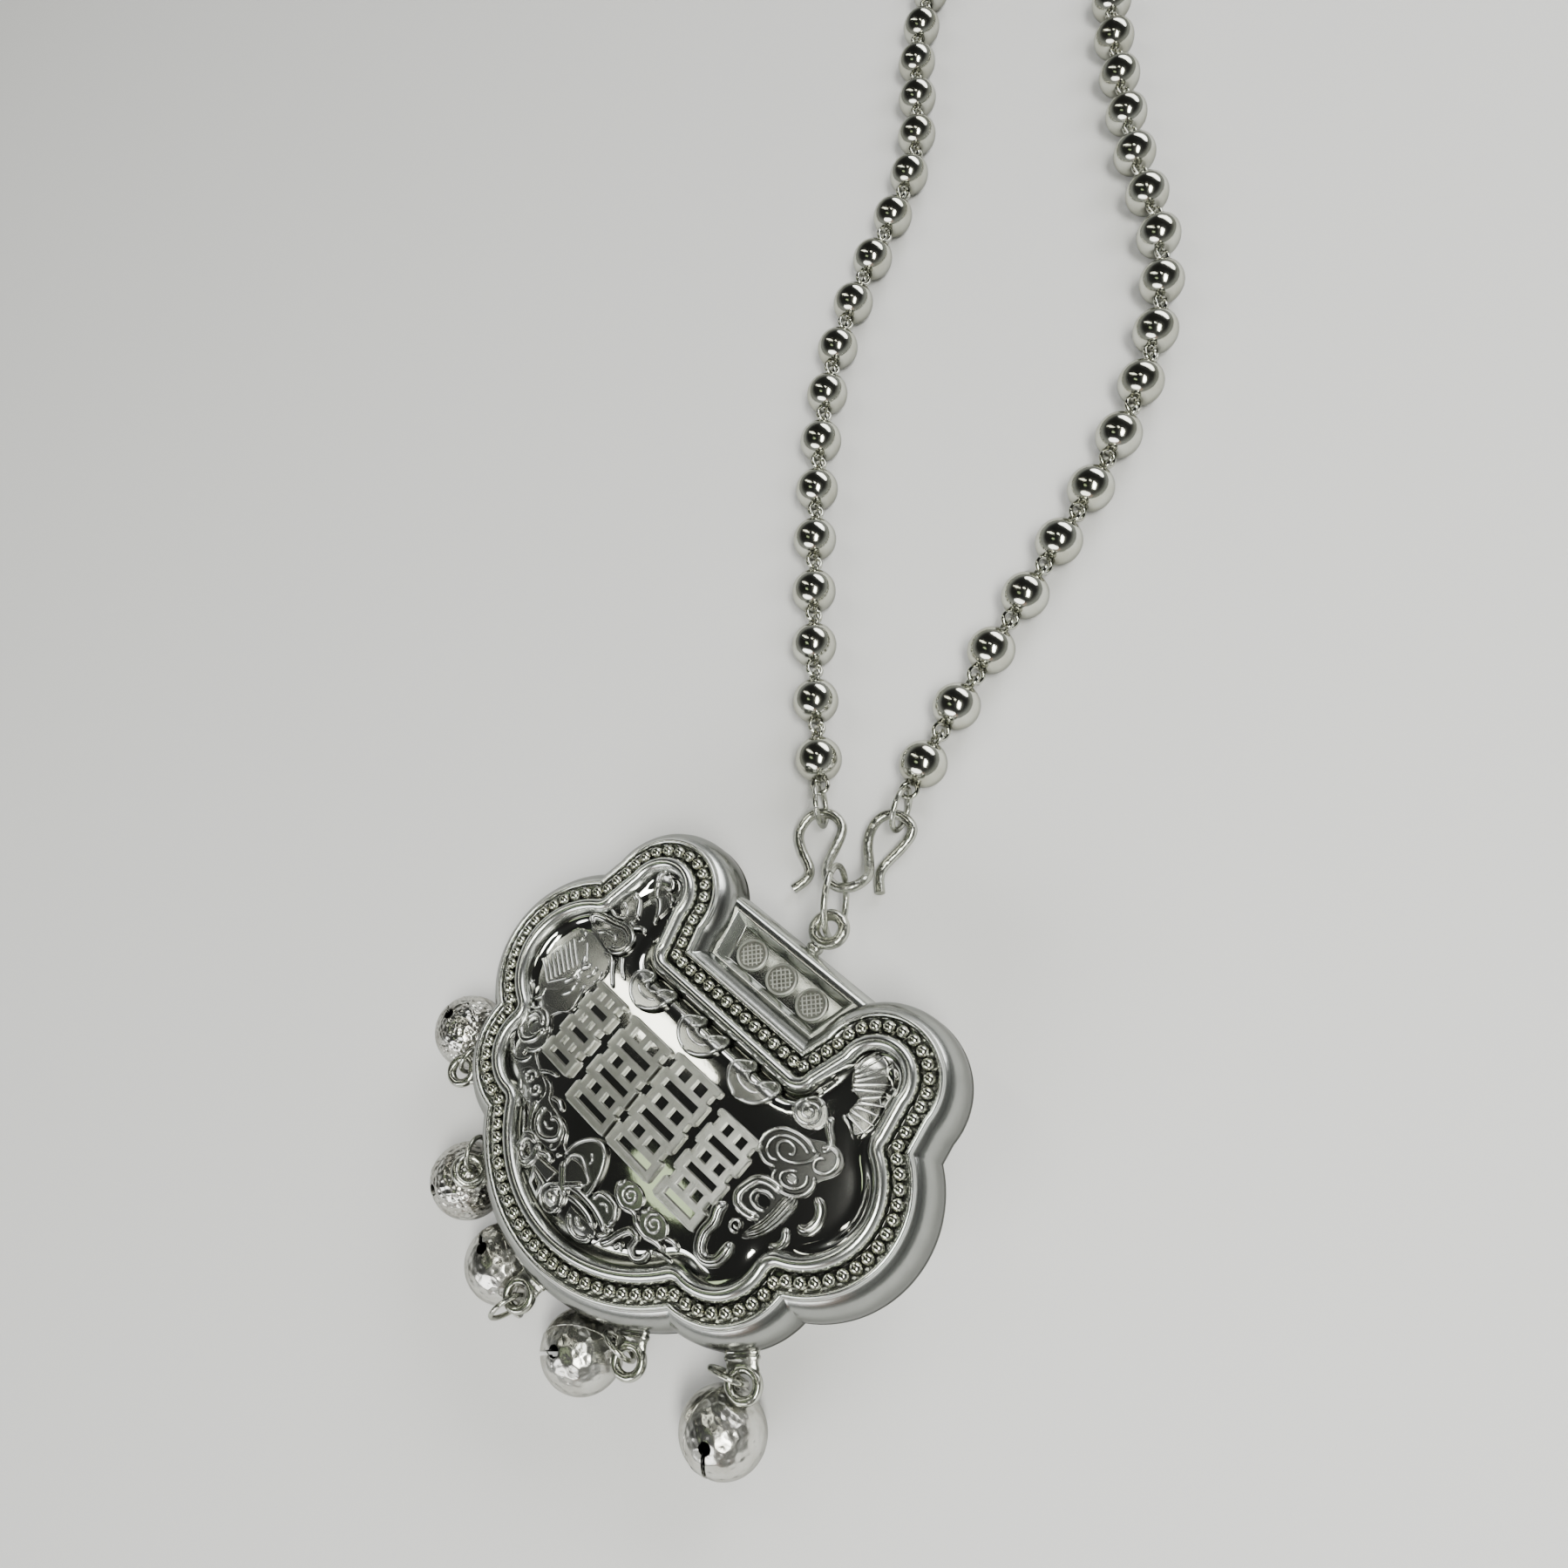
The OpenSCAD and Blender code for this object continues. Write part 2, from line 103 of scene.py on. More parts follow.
class Bench:
    """Small tools for making and finishing meshes."""

    @staticmethod
    def clear_selection() -> None:
        """Leave nothing selected, as a new primitive is selected all over."""
        if bpy.context.object and bpy.context.object.mode != "OBJECT":
            bpy.ops.object.mode_set(mode="OBJECT")
        bpy.ops.object.select_all(action="DESELECT")

    @staticmethod
    def pick(*pieces: Object) -> None:
        """Select these pieces alone, with the first one active."""
        Bench.clear_selection()
        for piece in pieces:
            piece.select_set(True)
        bpy.context.view_layer.objects.active = pieces[0]

    @staticmethod
    def place(name: str, data: bpy.types.ID) -> Object:
        """Put a mesh, curve, lamp or camera into the scene as an object."""
        made = bpy.data.objects.new(name, data)
        bpy.context.scene.collection.objects.link(made)
        return made

    @staticmethod
    def piece(name: str, verts: Array, faces: Sequence[Sequence[int]]) -> Object:
        """Make a mesh object from points in millimetres.

        Args:
            name: Name of the piece.
            verts: Points, in rows of three.
            faces: Lists of point numbers, anticlockwise from outside.

        Returns:
            The new object, at the origin.
        """
        mesh = bpy.data.meshes.new(name)
        mesh.from_pydata((np.asarray(verts, float) * MM).tolist(), [], [list(f) for f in faces])
        mesh.validate()
        return Bench.place(name, mesh)

    @staticmethod
    def apply_modifiers(piece: Object) -> None:
        """Apply every modifier of a piece in order."""
        Bench.pick(piece)
        for modifier in list(piece.modifiers):
            bpy.ops.object.modifier_apply(modifier=modifier.name)

    @staticmethod
    def settle(piece: Object) -> None:
        """Move a piece's place, turn and scale into its mesh."""
        Bench.pick(piece)
        bpy.ops.object.transform_apply(location=True, rotation=True, scale=True)

    @staticmethod
    def heal(piece: Object, distance: float = 0.002) -> None:
        """Merge doubled points and turn the faces outwards.

        Args:
            piece: The mesh object.
            distance: Points closer than this many millimetres become one.
        """
        Bench.pick(piece)
        bpy.ops.object.mode_set(mode="EDIT")
        bpy.ops.mesh.select_all(action="SELECT")
        bpy.ops.mesh.remove_doubles(threshold=distance * MM)
        bpy.ops.mesh.dissolve_degenerate(threshold=distance * MM * 0.2)
        bpy.ops.mesh.normals_make_consistent(inside=False)
        bpy.ops.object.mode_set(mode="OBJECT")

    @staticmethod
    def smooth(piece: Object, angle: float) -> None:
        """Shade smooth, with creases sharper than an angle in degrees kept."""
        Bench.pick(piece)
        bpy.ops.object.shade_smooth_by_angle(angle=math.radians(angle))

    @staticmethod
    def join(name: str, pieces: Sequence[Object]) -> Object:
        """Join pieces into one object with a new name."""
        Bench.pick(*pieces)
        if len(pieces) > 1:
            bpy.ops.object.join()
        made = Bench.newest(name)
        made.data.name = name
        return made

    @staticmethod
    def newest(name: str) -> Object:
        """The piece that was just made, under a new name."""
        made = bpy.context.view_layer.objects.active
        made.name = name
        return made

    @staticmethod
    def points(piece: Object) -> Array:
        """Every point of a mesh, in millimetres."""
        rows = np.empty(len(piece.data.vertices) * 3)
        piece.data.vertices.foreach_get("co", rows)
        return rows.reshape(-1, 3) / MM

    @staticmethod
    def bend(piece: Object, change: Callable[[Array], Array]) -> None:
        """Move every point of a mesh by a function on millimetre points."""
        moved_points = change(Bench.points(piece)) * MM
        piece.data.vertices.foreach_set("co", moved_points.ravel())
        piece.data.update()

    @staticmethod
    def copies(name: str, model: Object, places: Sequence[Matrix]) -> Object:
        """Make one mesh out of copies of a small model.

        Args:
            name: Name of the new piece.
            model: Object to copy; it is deleted afterwards.
            places: A matrix for each copy, in millimetres.

        Returns:
            The new object.
        """
        points = Bench.points(model)
        faces = [np.array(p.vertices) for p in model.data.polygons]
        verts = []
        polys = []
        for i, place in enumerate(places):
            matrix = np.array(place)
            verts.append(points @ matrix[:3, :3].T + matrix[:3, 3])
            polys.extend((f + i * len(points)).tolist() for f in faces)
        bpy.data.objects.remove(model)
        return Bench.piece(name, np.vstack(verts), polys)

    @staticmethod
    def along_x(name: str, rows: Sequence[Sequence[float]], sides: int,
                ends: bool = False) -> Object:
        """Make a piece out of a row of ellipses around x.

        Args:
            name: Name of the piece.
            rows: Place of each ellipse along x, with its radii along y and z.
            sides: Number of points round each ellipse.
            ends: Whether the two ends are closed.

        Returns:
            The new object.
        """
        turns = [2 * math.pi * k / sides for k in range(sides)]
        verts = [(x, wide * math.cos(turn), thick * math.sin(turn))
                 for x, wide, thick in rows for turn in turns]
        faces = band_faces(len(rows), sides, flip=rows[-1][0] < rows[0][0])
        if ends:
            last = range((len(rows) - 1) * sides, len(rows) * sides)
            faces = [list(reversed(range(sides))), *faces, list(last)]
        return Bench.piece(name, np.array(verts), faces)

    @staticmethod
    def from_curve(curve: bpy.types.Curve, lines: Sequence[Array], closed: bool) -> Object:
        """Lay a bevelled curve along lines of points and make it a mesh.

        Args:
            curve: The curve, with its bevel set.
            lines: Lines of points in millimetres, in rows of three.
            closed: Whether each line comes back to its start.

        Returns:
            The mesh object.
        """
        for line in lines:
            spline = curve.splines.new("POLY")
            spline.points.add(len(line) - 1)
            for point, place in zip(spline.points, line):
                point.co = (*[float(c) * MM for c in place], 1.0)
            spline.use_cyclic_u = closed
        Bench.pick(Bench.place(curve.name, curve))
        bpy.ops.object.convert(target="MESH")
        return bpy.context.view_layer.objects.active

    @staticmethod
    def tube(name: str, points: Array, radius: float, sides: int) -> Object:
        """Round wire along a line of points, made as a bevelled curve.

        Args:
            name: Name of the piece.
            points: Points in millimetres.
            radius: Radius of the wire.
            sides: Number of sides around the wire, an even number.

        Returns:
            The wire as a mesh object.
        """
        curve = bpy.data.curves.new(name, "CURVE")
        curve.dimensions = "3D"
        curve.bevel_depth = radius * MM
        curve.bevel_resolution = max(0, sides // 2 - 2)
        curve.use_fill_caps = True
        return Bench.from_curve(curve, [points], closed=False)

    @staticmethod
    def ring(name: str, mean: float, wire: float, around: int, across: int) -> Object:
        """Torus around z at the origin, in millimetres."""
        Bench.clear_selection()
        bpy.ops.mesh.primitive_torus_add(
            major_radius=mean * MM, minor_radius=wire * MM,
            major_segments=around, minor_segments=across,
        )
        return Bench.newest(name)

    @staticmethod
    def ball(name: str, radius: float, segments: int, rings: int) -> Object:
        """Ball at the origin, in millimetres, with its poles on z."""
        Bench.clear_selection()
        bpy.ops.mesh.primitive_uv_sphere_add(radius=radius * MM, segments=segments,
                                             ring_count=rings)
        return Bench.newest(name)

    @staticmethod
    def drum(name: str, radius: float, depth: float, x: float, z: float, sides: int) -> Object:
        """Upright cylinder with its middle on y = 0, in millimetres."""
        Bench.clear_selection()
        bpy.ops.mesh.primitive_cylinder_add(vertices=sides, radius=radius * MM, depth=depth * MM,
                                            location=(x * MM, 0, z * MM))
        made = Bench.newest(name)
        Bench.settle(made)
        return made


def band_faces(rows: int, count: int, start: int = 0, flip: bool = False) -> list[Sequence[int]]:
    """Quads between closed rows of points.

    Args:
        rows: Number of rows.
        count: Number of points in each row.
        start: Number of the first point.
        flip: Whether the quads face the other way.

    Returns:
        Lists of point numbers.
    """
    faces = []
    for low in range(start, start + (rows - 1) * count, count):
        for k in range(count):
            a = low + k
            b = low + (k + 1) % count
            faces.append((a, a + count, b + count, b) if flip else (a, b, b + count, a + count))
    return faces


def smooth_line(points: Sequence[Sequence[float]], steps: int) -> Array:
    """Smooth curve through points, with some steps from each point to the next."""
    rows = np.asarray(points, float)
    first = 2 * rows[0] - rows[1]
    last = 2 * rows[-1] - rows[-2]
    padded = np.vstack([first, rows, last])
    made = []
    for a, b, c, d in zip(padded[:-3], padded[1:-2], padded[2:-1], padded[3:]):
        for k in range(steps):
            t = k / steps
            made.append(0.5 * (2 * b + (c - a) * t + (2 * a - 5 * b + 4 * c - d) * t * t
                               + (3 * b - a - 3 * c + d) * t ** 3))
    made.append(rows[-1])
    return np.array(made)


def run_lengths(line: Array) -> Array:
    """Length of a line up to each of its points."""
    return np.concatenate([[0.0], np.cumsum(np.linalg.norm(np.diff(line, axis=0), axis=1))])


def even_line(points: Array, count: int) -> Array:
    """The same line with an even spacing and a given number of points."""
    runs = run_lengths(points)
    wanted = np.linspace(0.0, runs[-1], count)
    return np.stack([np.interp(wanted, runs, points[:, i]) for i in range(points.shape[1])], axis=1)


def distance_to_line(points: Array, line: Array) -> Array:
    """Distance of each point to a closed line, both in the plane."""
    near = np.full(len(points), np.inf)
    for a, b in zip(line, np.roll(line, -1, axis=0)):
        along = b - a
        size = float(along @ along)
        if size < 1e-12:
            continue
        t = np.clip(((points - a) @ along) / size, 0, 1)
        near = np.minimum(near, np.linalg.norm(points - (a + t[:, None] * along), axis=1))
    return near


def add_node(tree: bpy.types.NodeTree, kind: str, *values: tuple[str, float]) -> bpy.types.Node:
    """Add a shader node with some of its inputs set.

    Args:
        tree: Node tree of a material or a world.
        kind: Type of the node.
        values: Names of inputs with their values.

    Returns:
        The new node.
    """
    node = tree.nodes.new(kind)
    for name, value in values:
        node.inputs[name].default_value = value
    return node


@dataclass(frozen=True)
class Silver:
    """A finish of silver: tint, gloss and the fine unevenness of its surface."""

    name: str
    tint: tuple[float, float, float]
    shade: tuple[float, float, float]
    roughness: float
    rough_spread: float
    grain: float
    bump: float
    bump_scale: float
    hammer: float = 0.0
    hammer_scale: float = 0.0
    # Strength of the painted shade in recesses and on sides, read from the piece's attribute
    painted_shade: float = 0.0
    rim_tint: float = 0.55

    CLOUD_STOPS = (0.3, 0.62)
    GRAIN_DEPTH = 0.05
    HAMMER_DEPTH = 0.2

    def make(self) -> bpy.types.Material:
        """Build the node material.

        Returns:
            The material, with its patterns on Object coordinates.
        """
        material = bpy.data.materials.new(self.name)
        material.use_nodes = True
        tree = material.node_tree
        link = tree.links.new
        shader = tree.nodes["Principled BSDF"]
        shader.inputs["Metallic"].default_value = 1.0
        shader.inputs["Specular Tint"].default_value = (*[self.rim_tint] * 3, 1)
        place = add_node(tree, "ShaderNodeTexCoord").outputs["Object"]
        cloudy = add_node(tree, "ShaderNodeTexNoise", ("Scale", self.grain), ("Detail", 5.0))
        link(place, cloudy.inputs["Vector"])
        ramp = add_node(tree, "ShaderNodeValToRGB")
        stops = ramp.color_ramp.elements
        for stop, height, colour in zip(stops, self.CLOUD_STOPS, (self.shade, self.tint)):
            stop.position = height
            stop.color = (*colour, 1)
        link(cloudy.outputs["Fac"], ramp.inputs["Fac"])
        face = ramp.outputs["Color"]
        # Painted shade: the colour is darkened by the piece's own attribute
        if self.painted_shade:
            face = self._paint_shade(tree, face)
        link(face, shader.inputs["Base Color"])
        gloss = add_node(tree, "ShaderNodeMapRange",
                         ("To Min", self.roughness + self.rough_spread), ("To Max", self.roughness))
        link(cloudy.outputs["Fac"], gloss.inputs["Value"])
        link(gloss.outputs["Result"], shader.inputs["Roughness"])
        link(self._unevenness(tree, place), shader.inputs["Normal"])
        return material

    def _paint_shade(self, tree: bpy.types.NodeTree,
                colour: bpy.types.NodeSocket) -> bpy.types.NodeSocket:
        """Paint shade into the recesses and onto the sides, by the piece's own attribute.

        Args:
            tree: Node tree of the material.
            colour: Socket with the plain colour.

        Returns:
            Socket with the darkened colour.
        """
        depth = add_node(tree, "ShaderNodeAttribute")
        depth.attribute_name = "painted_shade"
        mix = add_node(tree, "ShaderNodeMix")
        mix.data_type = "RGBA"
        mix.blend_type = "MULTIPLY"
        dark = 1.0 - self.painted_shade
        mix.inputs["B"].default_value = (dark, dark, dark * 0.96, 1)
        tree.links.new(depth.outputs["Fac"], mix.inputs["Factor"])
        tree.links.new(colour, mix.inputs["A"])
        return mix.outputs["Result"]

    def _unevenness(self, tree: bpy.types.NodeTree,
                    place: bpy.types.NodeSocket) -> bpy.types.NodeSocket:
        """Add the fine grain and the hammer marks as bumps.

        Args:
            tree: Node tree of the material.
            place: Socket with the texture coordinates.

        Returns:
            Socket with the uneven surface's direction.
        """
        fine = add_node(tree, "ShaderNodeTexNoise", ("Scale", self.bump_scale), ("Detail", 3.0))
        bump = add_node(tree, "ShaderNodeBump", ("Strength", self.bump),
                        ("Distance", self.GRAIN_DEPTH * MM))
        tree.links.new(place, fine.inputs["Vector"])
        tree.links.new(fine.outputs["Fac"], bump.inputs["Height"])
        if self.hammer:
            marks = add_node(tree, "ShaderNodeTexVoronoi")
            marks.feature = "SMOOTH_F1"
            marks.inputs["Scale"].default_value = self.hammer_scale
            marks.inputs["Smoothness"].default_value = 0.6
            dents = add_node(tree, "ShaderNodeBump", ("Strength", self.hammer),
                             ("Distance", self.HAMMER_DEPTH * MM))
            tree.links.new(place, marks.inputs["Vector"])
            tree.links.new(marks.outputs["Distance"], dents.inputs["Height"])
            tree.links.new(bump.outputs["Normal"], dents.inputs["Normal"])
            bump = dents
        return bump.outputs["Normal"]


@dataclass
class Finishes:
    """All the finishes of the pendant, made once."""

    made: dict[Surface, bpy.types.Material] = field(default_factory=dict)

    KINDS = (
        Silver(Surface.MIRROR.value, (0.84, 0.84, 0.81), (0.78, 0.79, 0.74), 0.04, 0.04,
               160.0, 0.10, 900.0, hammer=0.03, hammer_scale=160.0, rim_tint=1.0),
        Silver(Surface.MOULDED.value, (0.76, 0.78, 0.75), (0.66, 0.68, 0.65), 0.17, 0.10,
               400.0, 0.12, 2400.0, painted_shade=0.85),
        Silver(Surface.RELIEF.value, (0.76, 0.77, 0.74), (0.66, 0.67, 0.64), 0.21, 0.06,
               500.0, 0.06, 2600.0, painted_shade=0.93),
        Silver(Surface.FROSTED.value, (0.66, 0.67, 0.63), (0.50, 0.51, 0.47), 0.32, 0.14,
               900.0, 0.9, 9000.0, painted_shade=0.7),
        Silver(Surface.SHELL.value, (0.72, 0.74, 0.71), (0.62, 0.64, 0.60), 0.14, 0.14,
               220.0, 0.2, 1500.0, painted_shade=0.75),
        Silver(Surface.HAMMERED.value, (0.72, 0.72, 0.68), (0.50, 0.48, 0.43), 0.14, 0.16,
               700.0, 0.6, 3200.0, hammer=1.0, hammer_scale=1900.0, painted_shade=0.85),
        Silver(Surface.POLISHED.value, (0.72, 0.72, 0.68), (0.56, 0.55, 0.50), 0.19, 0.12,
               420.0, 0.5, 2200.0, hammer=0.7, hammer_scale=1300.0, painted_shade=0.85),
        Silver(Surface.WIRE.value, (0.62, 0.63, 0.57), (0.46, 0.47, 0.40), 0.16, 0.16,
               900.0, 0.6, 2600.0, hammer=0.3, hammer_scale=1500.0, painted_shade=0.75),
        Silver(Surface.BEAD.value, (0.68, 0.69, 0.62), (0.56, 0.56, 0.47), 0.08, 0.08,
               450.0, 0.18, 1500.0, painted_shade=0.85),
    )

    def make(self) -> None:
        """Build every material."""
        self.made = {surface: kind.make() for surface, kind in zip(Surface, self.KINDS)}

    def finish(self, piece: Object, surface: Surface, slot: Slot, *nodes: str) -> None:
        """Give a piece its finish, ride the object's body and stand for CAD nodes.

        Args:
            piece: The finished piece.
            surface: How its silver is finished.
            slot: Material slot of the record; not used.
            nodes: CAD nodes that the piece replaces.
        """
        piece.data.materials.clear()
        piece.data.materials.append(self.made[surface])
        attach(piece, BODY)
        if nodes:
            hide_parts(*nodes)
        LOG.info("%s: %d faces", piece.name, len(piece.data.polygons))


def store_painted_shade(piece: Object, values: Array) -> None:
    """Store a number from 0 to 1 for each point, for the painted shade in the recesses and on the
    sides.
    """
    layer = piece.data.attributes.get("painted_shade")
    if layer is None:
        layer = piece.data.attributes.new("painted_shade", "FLOAT", "POINT")
    layer.data.foreach_set("value", np.clip(values, 0, 1).astype(np.float32))


def stored_painted_shade(piece: Object) -> Array:
    """The numbers stored for the points, or none where nothing is stored."""
    values = np.zeros(len(piece.data.vertices))
    layer = piece.data.attributes.get("painted_shade")
    if layer is not None:
        layer.data.foreach_get("value", values)
    return values


def mark_painted_shade(piece: Object, amount: Callable[[Array], Array]) -> None:
    """Store how much painted shade each point gets, mostly where it lies in a recess.

    Args:
        piece: The mesh object.
        amount: Function from millimetre points to numbers from 0 to 1.
    """
    store_painted_shade(piece, amount(Bench.points(piece)))


def paint_side_shade(piece: Object, weight: float) -> None:
    """Paint shade on the sides and the underside, darker the more a surface faces down.

    Args:
        piece: The mesh object, in its final place.
        weight: How much is added for a surface that faces down.
    """
    mesh = piece.data
    normals = np.empty(len(mesh.vertices) * 3)
    mesh.vertices.foreach_get("normal", normals)
    sides = np.clip(0.45 - normals.reshape(-1, 3)[:, 2], 0, 1)
    store_painted_shade(piece, stored_painted_shade(piece) + weight * sides)


@dataclass(frozen=True)
class Lobe:
    """One round lobe of the line of rim beads."""

    x: float
    y: float
    r: float

    @property
    def centre(self) -> Array:
        """Centre in the plane."""
        return np.array([self.x, self.y])


def line_meets_circle(start: Array, end: Array, lobe: Lobe, out: float) -> tuple[Array, Array]:
    """Where a straight line crosses a lobe's circle at an offset.

    Args:
        start: A point of the line.
        end: Another point of the line.
        lobe: The lobe.
        out: Offset of its circle.

    Returns:
        The crossing met first and the one met last, going from start to end.
    """
    way = (end - start) / np.linalg.norm(end - start)
    to_centre = lobe.centre - start
    along = float(to_centre @ way)
    off = float(to_centre[0] * way[1] - to_centre[1] * way[0])
    half = math.sqrt(max(0.0, (lobe.r + out) ** 2 - off ** 2))
    return start + (along - half) * way, start + (along + half) * way


def circles_meet(a: Lobe, b: Lobe, out: float) -> tuple[Array, Array]:
    """Where two lobes' circles cross at an offset.

    Args:
        a: First lobe.
        b: Second lobe.
        out: Offset of both circles.

    Returns:
        The crossing on the left of the way from a to b, and the one on the right.
    """
    span = b.centre - a.centre
    gap = float(np.linalg.norm(span))
    way = span / gap
    ra = a.r + out
    rb = b.r + out
    along = (ra ** 2 - rb ** 2 + gap ** 2) / (2 * gap)
    half = math.sqrt(max(0.0, ra ** 2 - along ** 2))
    side = np.array([-way[1], way[0]])
    middle = a.centre + along * way
    return middle + half * side, middle - half * side


class RimLine:
    """The line of rim beads and its offsets, always with the same number of points."""

    EAR = Lobe(14.1, 3.64, 4.55)
    SIDE = Lobe(15.15, -6.96, 8.1)
    LOW = Lobe(12.6, -15.35, 6.05)
    FOOT = Lobe(0.0, -12.2, 15.5)
    COUNTS = (46, 16, 60, 14, 80, 52, 70)
    FAN = 9

    def __init__(self) -> None:
        """Sample the line once, with its outward directions."""
        parts = self._parts(0.0)
        self._line, self._out = self._with_fans(parts)

    def _parts(self, out: float) -> list[Array]:
        """The seven parts of the right half, from the top middle round to the bottom.

        Args:
            out: Offset from the line of beads, zero or more.

        Returns:
            Points of each part.
        """
        foot = np.array([8.2 - out, -5.0])
        knee = np.array([8.45 - out, 0.3])
        tip = np.array([9.89 - out, 4.67])
        if out <= knee[1]:
            share = (out - foot[1]) / (knee[1] - foot[1])
            corner = foot + share * (knee - foot)
            leg = [corner, knee]
        else:
            share = (out - knee[1]) / (tip[1] - knee[1])
            corner = knee + share * (tip - knee)
            leg = [corner]
        ear_start = line_meets_circle(knee, tip, self.EAR, out)[0]
        leg.append(ear_start)
        shoulder = np.array([18.45 + out, 4.67])
        elbow = np.array([19.3 + out, 0.3])
        end = np.array([19.3 + out, -5.0])
        ear_end = line_meets_circle(shoulder, elbow, self.EAR, out)[1]
        side_start = line_meets_circle(shoulder, elbow, self.SIDE, out)[0]
        stem = [ear_end]
        if side_start[1] < elbow[1]:
            side_start = line_meets_circle(elbow, end, self.SIDE, out)[0]
            stem.append(elbow)
        stem.append(side_start)
        side_end = circles_meet(self.SIDE, self.LOW, out)[0]
        low_end = circles_meet(self.LOW, self.FOOT, out)[0]
        bottom = np.array([0.0, self.FOOT.y - self.FOOT.r - out])
        n = self.COUNTS
        return [
            even_line(np.array([[0.0, out], corner]), n[0]),
            even_line(np.array(leg), n[1]),
            self._arc(self.EAR, out, ear_start, ear_end, n[2]),
            even_line(np.array(stem), n[3]),
            self._arc(self.SIDE, out, side_start, side_end, n[4]),
            self._arc(self.LOW, out, side_end, low_end, n[5]),
            self._arc(self.FOOT, out, low_end, bottom, n[6]),
        ]

    @staticmethod
    def _arc(lobe: Lobe, out: float, start: Array, end: Array, count: int) -> Array:
        """Clockwise arc of a lobe's circle between two points."""
        first = math.atan2(*(start - lobe.centre)[::-1])
        last = math.atan2(*(end - lobe.centre)[::-1])
        while last > first:
            last -= 2 * math.pi
        turns = np.linspace(first, last, count)
        return lobe.centre + (lobe.r + out) * np.stack([np.cos(turns), np.sin(turns)], axis=1)

    def _with_fans(self, parts: list[Array]) -> tuple[Array, Array]:
        """Points and outward directions, with a fan of directions where two parts meet.

        Args:
            parts: Points of each part at no offset.

        Returns:
            The points and the directions of the right half.
        """
        points = []
        ways = []
        for part in parts:
            step = np.gradient(part, axis=0)
            step /= np.linalg.norm(step, axis=1)[:, None]
            normal = np.stack([-step[:, 1], step[:, 0]], axis=1)
            if points:
                before = ways[-1][-1]
                angle = math.atan2(before[0] * normal[0][1] - before[1] * normal[0][0],
                                   float(before @ normal[0]))
                turns = np.linspace(0, angle, self.FAN + 2)[1:-1]
                fan = [[before[0] * math.cos(t) - before[1] * math.sin(t),
                        before[0] * math.sin(t) + before[1] * math.cos(t)] for t in turns]
                points.append(np.repeat(part[:1], self.FAN, axis=0))
                ways.append(np.array(fan))
            points.append(part)
            ways.append(normal)
        ways[0][0] = [0, 1]
        ways[-1][-1] = [0, -1]
        return np.vstack(points), np.vstack(ways)

    def half(self, out: float) -> Array:
        """Right half at an offset, from the top middle round to the bottom."""
        if out < 0:
            return self._line + out * self._out
        parts = self._parts(out)
        rows = [parts[0]]
        for part in parts[1:]:
            rows.append(np.repeat(part[:1], self.FAN, axis=0))
            rows.append(part)
        return np.vstack(rows)

    def ring(self, out: float) -> Array:
        """The whole closed line at an offset, clockwise from the top middle."""
        right = self.half(out)
        left = right[::-1][1:-1] * [-1, 1]
        return np.vstack([right, left])


